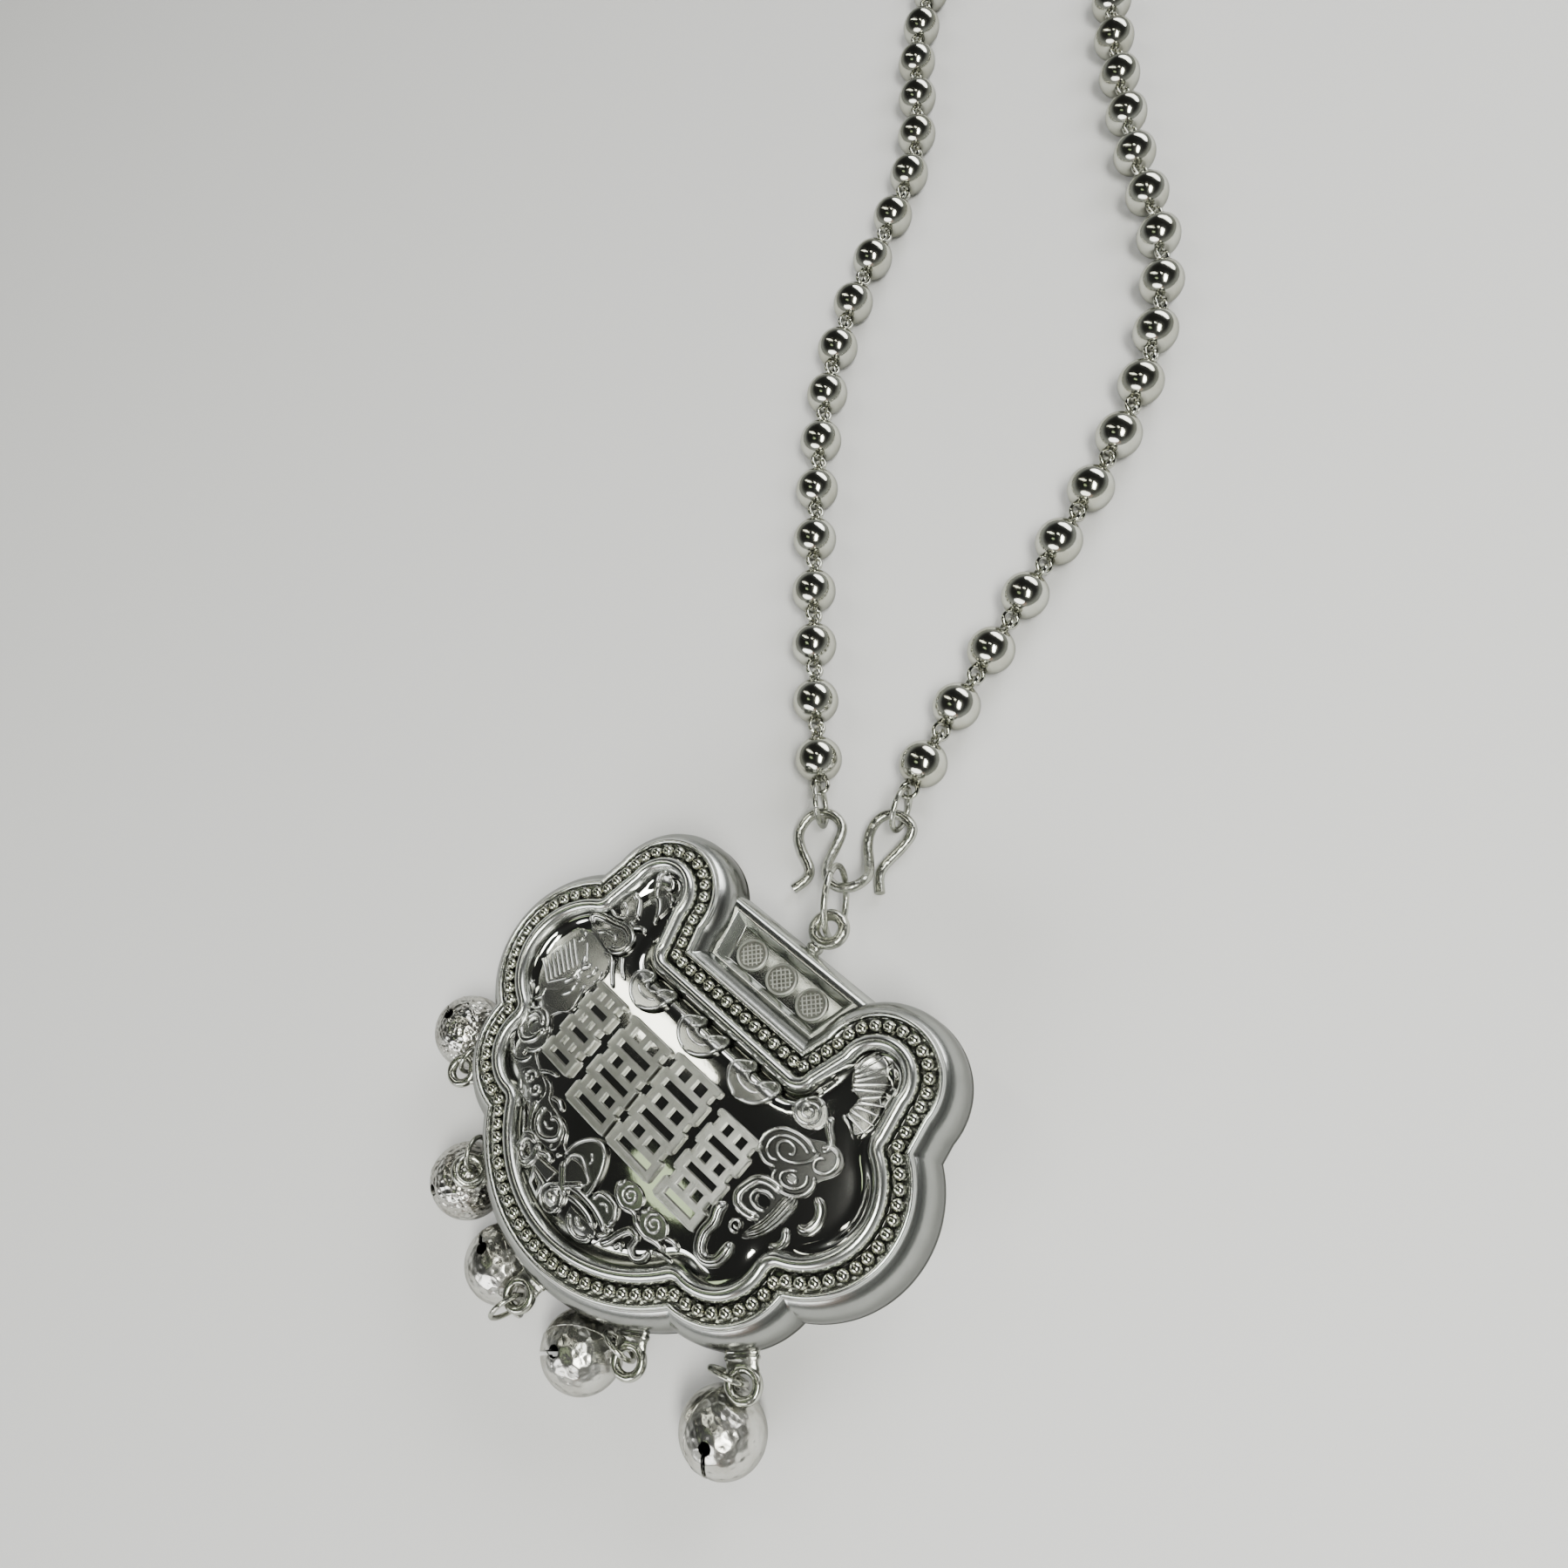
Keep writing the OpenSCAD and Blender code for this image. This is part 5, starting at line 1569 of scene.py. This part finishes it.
@dataclass
class Bells:
    """Five round bells and the rings that hold them."""

    finishes: Finishes
    hammered: int = 2
    wall: float = 0.5
    slot: float = 0.42
    slot_hole: float = 0.6
    slot_start: float = 0.45
    seam_roll: float = 35.0
    seam_wire: float = 0.06
    cap_r: float = 0.85
    eye_r: float = 0.85
    eye_wire: float = 0.22
    ring_wire: float = 0.25

    def make(self) -> None:
        """Make every bell and ring."""
        for number, place in enumerate(BELL_PLACES, 1):
            self.make_bell(number, place)
            self.make_ring(number, place)

    def make_bell(self, number: int, place: BellPlace) -> None:
        """Make one hollow bell with its slot, seam, cap and eye.

        Args:
            number: Number of the bell, from 1.
            place: Where it hangs.
        """
        ball = Bench.ball("ball", place.BELL_R - 0.02, 72, 48)
        shell = ball.modifiers.new("wall", "SOLIDIFY")
        shell.thickness = self.wall * MM
        shell.offset = -1
        Bench.apply_modifiers(ball)
        for cutter in self._cutters(place.BELL_R):
            cut = ball.modifiers.new("slot", "BOOLEAN")
            cut.operation = "DIFFERENCE"
            cut.solver = "EXACT"
            cut.object = cutter
            Bench.apply_modifiers(ball)
            bpy.data.objects.remove(cutter)
        seam = Bench.ring("seam", place.BELL_R - self.seam_wire / 2, self.seam_wire, 96, 8)
        seam.data.transform(Matrix.Rotation(math.radians(90 - self.seam_roll), 4, "X"))
        cap = self._cap(place)
        eye = Bench.ring("eye", self.eye_r, self.eye_wire, 36, 12)
        Bench.bend(eye, lambda p: p[:, [0, 2, 1]] * [1, 1, -1] + [place.eye_reach, 0, 0])
        made = Bench.join(f"bell_{number}_silver", [ball, seam, cap, eye])

        def depth(points: Array) -> Array:
            """Painted shade inside and round the cap."""
            away = np.linalg.norm(points, axis=1)
            cap_edge = np.exp(-((np.hypot(points[:, 1], points[:, 2]) - self.cap_r) / 0.2) ** 2)
            return (away < place.BELL_R - 0.1) + 0.8 * cap_edge * (points[:, 0] > 3)

        mark_painted_shade(made, depth)
        matrix = place.bell_matrix()
        matrix.translation *= MM
        made.data.transform(matrix)
        Bench.smooth(made, 40)
        # Painted shade on the bell's sides and underside
        paint_side_shade(made, 0.55)
        surface = Surface.HAMMERED if number <= self.hammered else Surface.POLISHED
        self.finishes.finish(made, surface, Slot.BELL, f"bell_{number}")

    def _cutters(self, radius: float) -> list[Object]:
        """Blade of the slot and the drill of the two round holes where it ends."""
        Bench.clear_selection()
        bpy.ops.mesh.primitive_cube_add(size=1)
        blade = Bench.newest("blade")
        blade.scale = (1.5 * radius * MM, self.slot * MM, 3 * radius * MM)
        blade.location = ((-self.slot_start - 0.75 * radius) * MM, 0, 0)
        Bench.settle(blade)
        return [blade, Bench.drum("hole", self.slot_hole, 3 * radius, -self.slot_start, 0, 32)]

    def _cap(self, place: BellPlace) -> Object:
        """Round cap under the eye, with its short shank."""
        top = place.eye_reach - self.eye_r
        rows = ((3.62, 0.98), (3.80, 0.92), (3.93, 0.78), (3.99, 0.55), (4.02, 0.36),
                (max(4.06, top), 0.28), (max(4.10, top + 0.04), 0.0))
        made = Bench.along_x("cap", [(x, r, r) for x, r in rows], 28)
        Bench.heal(made, 0.005)
        return made

    def make_ring(self, number: int, place: BellPlace) -> None:
        """Make the ring that holds one bell.

        Args:
            number: Number of the ring, from 1.
            place: Where it hangs.
        """
        x, y = place.ring_middle()
        made = upright_ring(f"bell_ring_{number}_wire", (x, y, place.ring_height),
                            place.ring_heading, place.RING_R, self.ring_wire, 200)
        self.finishes.finish(made, Surface.WIRE, Slot.WIRE, f"bell_ring_{number}")


def upright_ring(name: str, middle: Sequence[float], way: float, mean: float, wire: float,
                 cut: float) -> Object:
    """Ring of round wire standing on edge, with the fine cut where its ends meet.

    Args:
        name: Name of the piece.
        middle: Middle, in millimetres.
        way: Heading of its plane, in degrees.
        mean: Mean radius.
        wire: Radius of the wire.
        cut: Angle of the cut in the ring's plane, in degrees from its heading.

    Returns:
        The ring.
    """
    gap = math.degrees(RING_CUT / 2 / mean)
    turns = np.radians(np.linspace(cut + gap, cut + 360 - gap, 73))
    across = np.array([*heading(way), 0.0])
    up = np.array([0, 0, 1.0])
    line = np.array(middle) + mean * (np.cos(turns)[:, None] * across + np.sin(turns)[:, None] * up)
    made = Bench.tube(name, line, wire, RING_SIDES)
    Bench.smooth(made, 50)
    # Painted shade on the ring's sides and underside
    paint_side_shade(made, WIRE_SIDE_SHADE)
    return made


@dataclass
class Fastening:
    """The ring on the bail, the double wire hook and the two end rings."""

    finishes: Finishes
    hook_wire: float = 0.52

    HOOK = (
        (-9, 13.1, 0.6), (-8.6, 14.8, 0.6), (-9.2, 15.9, 0.6), (-11.2, 16.9, 0.8),
        (-12.5, 18.1, 1.1), (-12.7, 20, 1.4), (-11.9, 21.2, 1.4), (-10.7, 21.7, 1.4),
        (-9.4, 21.5, 1.4), (-8.5, 20.7, 1.6), (-7.6, 19, 2.3), (-6.6, 17.1, 3.4),
        (-5.4, 15.9, 4.2), (-4.1, 15.5, 4.5), (-3.1, 15.8, 4.5), (-2.3, 16.7, 4.3),
        (-2.1, 17.8, 3.9), (-2.6, 18.8, 3.1), (-3.9, 20, 2.2), (-5.4, 21.3, 1.5),
        (-6.2, 22.6, 1.4), (-6.4, 24.2, 1.4), (-5.7, 25.4, 1.4), (-4.5, 25.8, 1.4),
        (-3.2, 25.6, 1.4), (-2.6, 24.8, 1.2), (-2.6, 23.2, 0.9), (-2.9, 20.9, 0.6),
        (-2.6, 19.6, 0.6), (-1.3, 18.2, 0.6),
    )
    JUMP = (-1.97, 14.04, 5.97)
    JUMP_HEADING = 122.0
    JUMP_R = 3.6
    JUMP_WIRE = 0.33
    END_RINGS = ((-12.0, 21.6, 133.0), (-4.7, 26.1, 110.0))
    END_R = 2.2
    END_WIRE = 0.3
    END_CLEAR = 0.05

    def make(self) -> None:
        """Make the four wire pieces."""
        jump = upright_ring("jump_ring_wire", self.JUMP, self.JUMP_HEADING, self.JUMP_R,
                            self.JUMP_WIRE, 60)
        self.finishes.finish(jump, Surface.WIRE, Slot.WIRE, "jump_ring")
        hook = Bench.tube("hook_wire", smooth_line(self.HOOK, 6), self.hook_wire, 16)
        Bench.smooth(hook, 50)
        # Painted shade on the hook's sides and underside
        paint_side_shade(hook, WIRE_SIDE_SHADE)
        self.finishes.finish(hook, Surface.WIRE, Slot.WIRE, "m_hook")
        high = self.END_R + self.END_WIRE + self.END_CLEAR
        for number, (x, y, way) in enumerate(self.END_RINGS, 1):
            ring = upright_ring(f"end_ring_{number}_wire", (x, y, high), way, self.END_R,
                                self.END_WIRE, 120)
            self.finishes.finish(ring, Surface.WIRE, Slot.WIRE, f"end_ring_{number}")


@dataclass
class BeadChain:
    """The loop of linked beads."""

    finishes: Finishes
    count: int = 56
    bead_r: float = 2.5
    link_r: float = 0.85
    link_wire: float = 0.25
    link_gap: float = 0.9
    link_play: float = 0.08
    roll: float = 45.0

    ROUTE = (
        (-20, 29.7), (-26, 36), (-34.5, 45.5), (-43.5, 56.4), (-51.5, 68), (-57, 80),
        (-60.5, 90.5), (-65, 100), (-71.3, 107.8), (-78, 115.5), (-83.8, 125.5), (-90, 137),
        (-97.5, 148), (-103.5, 160.5), (-106, 174), (-100.6, 187.1), (-87.5, 192.5),
        (-74.4, 187.1), (-69, 174), (-69, 161.5), (-67, 149), (-62, 137.5), (-54.5, 127),
        (-46, 117.5), (-36.5, 107.5), (-27.5, 99.5), (-20.5, 90), (-15.5, 79), (-12.3, 67),
        (-10.3, 55), (-8.3, 43), (-6.8, 34),
    )

    def joints(self) -> tuple[Array, float]:
        """Points midway between linked small rings, and their spacing."""
        ends = [np.array([x, y]) + (Fastening.END_R + self.link_play - self.link_gap / 2)
                * heading(way) for x, y, way in Fastening.END_RINGS]
        line = smooth_line([ends[0], *self.ROUTE, ends[1]], 10)
        return even_line(line, self.count + 1), run_lengths(line)[-1] / self.count

    def bead(self, reach: float, roll_back: float, roll_front: float) -> Object:
        """One bead along x with its solder caps and small rings.

        Args:
            reach: Distance of the small rings from the bead's centre.
            roll_back: Roll of the ring at the back end, in degrees.
            roll_front: Roll of the ring at the front end, in degrees.

        Returns:
            The bead at the origin.
        """
        ball = Bench.ball("ball", self.bead_r - 0.01, 36, 22)
        Bench.bend(ball, lambda p: p[:, [2, 1, 0]] * [1, 1, -1])
        parts = [ball]
        for side, roll in ((-1, roll_back), (1, roll_front)):
            parts.append(self._cap(side, reach))
            ring = Bench.ring("link", self.link_r, self.link_wire, 22, 8)
            ring.data.transform(Matrix.Translation((side * reach * MM, 0, 0))
                                @ Matrix.Rotation(math.radians(roll), 4, "X"))
            parts.append(ring)
        return Bench.join("bead", parts)

    def _cap(self, side: int, reach: float) -> Object:
        """Small drop of solder where a ring meets the bead."""
        near = reach - self.link_r
        rows = ((2.30, 0.95), (2.36, 0.82), (near + 0.02, 0.60), (near + 0.16, 0.46),
                (near + 0.27, 0.30), (near + 0.30, 0.0))
        return Bench.along_x("cap", [(side * x, r, r) for x, r in rows], 14)

    def make(self) -> None:
        """Make the whole chain as one piece."""
        joints, pitch = self.joints()
        reach = (pitch - self.link_gap) / 2
        groups: dict[tuple[float, float], list[Matrix]] = {}
        for i in range(self.count):
            middle = (joints[i] + joints[i + 1]) / 2
            way = joints[i + 1] - joints[i]
            key = (0.0 if i == 0 else self.roll, 0.0 if i == self.count - 1 else -self.roll)
            groups.setdefault(key, []).append(
                Matrix.Translation((middle[0], middle[1], self.bead_r))
                @ Matrix.Rotation(math.atan2(way[1], way[0]), 4, "Z"))
        parts = []
        for rolls, places in groups.items():
            model = self.bead(reach, *rolls)
            # Painted shade where the solder caps meet the bead, and on its sides and underside
            mark_painted_shade(model, lambda p: 0.6 * np.exp(-((np.abs(p[:, 0]) - 2.42) / 0.14) ** 2))
            paint_side_shade(model, 0.6)
            painted_shades = np.tile(stored_painted_shade(model), len(places))
            part = Bench.copies("beads", model, places)
            store_painted_shade(part, painted_shades)
            parts.append(part)
        made = Bench.join("bead_chain_silver", parts)
        Bench.smooth(made, 50)
        self.finishes.finish(made, Surface.BEAD, Slot.BEAD, "bead_chain")


@dataclass(frozen=True)
class Studio:
    """Camera at the photograph's angle, pale floor and soft light."""

    focal_px: float = 1348.07
    frame_px: float = 1799.0
    axis_px: tuple[float, float] = (817.90, 973.67)
    eye: tuple[float, float, float] = (45.12, 2.21, 110.28)
    right: tuple[float, float, float] = (0.6737, 0.6540, -0.3441)
    down: tuple[float, float, float] = (0.5378, -0.7533, -0.3786)
    forward: tuple[float, float, float] = (-0.5068, 0.0700, -0.8592)
    sensor: float = 36.0
    floor_size: float = 3000.0
    floor_pale: float = 0.96
    floor_rough: float = 0.7
    lamp_height: float = 420.0
    tube_start: float = 222.0
    tube_step: float = 48.0
    tube_turn: float = 126.0

    def set_camera(self) -> None:
        """Place the camera where the photograph was taken."""
        data = bpy.data.cameras.new("photo_camera")
        data.sensor_fit = "HORIZONTAL"
        data.sensor_width = self.sensor
        data.lens = self.focal_px / self.frame_px * self.sensor
        half = self.frame_px / 2
        data.shift_x = (half - self.axis_px[0]) / self.frame_px
        data.shift_y = (self.axis_px[1] - half) / self.frame_px
        data.clip_start = 0.005
        data.clip_end = 20.0
        camera = Bench.place("photo_camera", data)
        turn = Matrix((self.right, [-c for c in self.down], [-c for c in self.forward]))
        camera.matrix_world = (Matrix.Translation(Vector(self.eye) * MM)
                               @ turn.transposed().to_4x4())
        bpy.context.scene.camera = camera

    def lay_floor(self) -> None:
        """Lay a pale plain floor under the pendant."""
        Bench.clear_selection()
        bpy.ops.mesh.primitive_plane_add(size=self.floor_size * MM, location=(0, 0.05, 0))
        floor = Bench.newest("floor")
        material = bpy.data.materials.new("pale_floor")
        material.use_nodes = True
        shader = material.node_tree.nodes["Principled BSDF"]
        shader.inputs["Base Color"].default_value = (*[self.floor_pale] * 3, 1)
        shader.inputs["Roughness"].default_value = self.floor_rough
        floor.data.materials.append(material)

    @staticmethod
    def lamp(name: str, place: Sequence[float], aim: Sequence[float], size: Sequence[float],
             power: float, colour: Sequence[float] = (1, 1, 1), turn: float = 0.0) -> None:
        """Hang a soft oval lamp.

        Args:
            name: Name of the lamp.
            place: Where it hangs, in millimetres.
            aim: Point that it faces, in millimetres.
            size: Width and height, in millimetres.
            power: Power in watts.
            colour: Tint of its light.
            turn: Turn about its own beam, in degrees.
        """
        data = bpy.data.lights.new(name, "AREA")
        data.shape = "ELLIPSE"
        data.size = size[0] * MM
        data.size_y = size[1] * MM
        data.energy = power
        data.color = colour
        lamp = Bench.place(name, data)
        lamp.location = Vector(place) * MM
        way = Vector(aim) - Vector(place)
        facing = way.to_track_quat("-Z", "Y") @ Quaternion((0, 0, 1), math.radians(turn))
        lamp.rotation_euler = facing.to_euler()

    def light(self) -> None:
        """Light the scene: dim room above, bright lamps that the silver mirrors."""
        world = bpy.data.worlds.new("studio")
        bpy.context.scene.world = world
        world.use_nodes = True
        self._sky(world.node_tree)
        warm = (1.0, 1.0, 0.86)
        green = (0.82, 1.0, 0.60)
        high = self.lamp_height
        for name, x, y, size, power, colour in (
            ("streak_lamp", -365, 8, (500, 34), 0.26, warm),
            ("streak_core", -290, 4, (130, 66), 0.09, warm),
            ("patch_lamp", -8, 74, (90, 16), 0.05, warm),
            ("green_panel", -82, -166, (140, 62), 0.024, green),
        ):
            self.lamp(name, (x, y, high), (x, y, 0), size, power, colour)
        for number in range(3):
            x = self.tube_start + self.tube_step * number
            self.lamp(f"tube_lamp_{number}", (x, -20, high), (x, -20, 0), (330, 34), 0.9,
                      (1.0, 1.0, 0.93), self.tube_turn)
        self.lamp("back_panel", (-60, 640, 360), (0, 20, 0), (700, 260), 3.0)
        self.lamp("front_panel", (120, -640, 360), (0, 0, 0), (700, 260), 2.6)
        self.lamp("brown_card", (330, -420, 170), (0, 0, 0), (260, 160), 0.02, (1.0, 0.45, 0.25))

    @staticmethod
    def _sky(tree: bpy.types.NodeTree) -> None:
        """Dark room with a pale horizon, by the height of the direction.

        Args:
            tree: Node tree of the world.
        """
        back = tree.nodes["Background"]
        place = add_node(tree, "ShaderNodeTexCoord")
        split = add_node(tree, "ShaderNodeSeparateXYZ")
        ramp = add_node(tree, "ShaderNodeValToRGB")
        tree.links.new(place.outputs["Generated"], split.inputs["Vector"])
        tree.links.new(split.outputs["Z"], ramp.inputs["Fac"])
        tree.links.new(ramp.outputs["Color"], back.inputs["Color"])
        stops = ((0.0, 0.36), (0.22, 0.30), (0.38, 0.12), (0.52, 0.03), (0.75, 0.018))
        bar = ramp.color_ramp
        for _ in range(len(stops) - 2):
            bar.elements.new(0.5)
        for element, (height, level) in zip(bar.elements, stops):
            element.position = height
            element.color = (level, level * 1.02, level * 0.98, 1)


def main() -> None:
    """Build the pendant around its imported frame."""
    logging.basicConfig(level=logging.INFO, format="%(name)s: %(message)s")
    for old in list(bpy.data.objects):
        bpy.data.objects.remove(old)
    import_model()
    studio = Studio()
    studio.set_camera()
    studio.lay_floor()
    studio.light()
    finishes = Finishes()
    finishes.make()
    for maker in (LockBody(RimLine(), finishes), Bells(finishes), Fastening(finishes),
                  BeadChain(finishes)):
        maker.make()


if __name__ == "__main__":
    main()
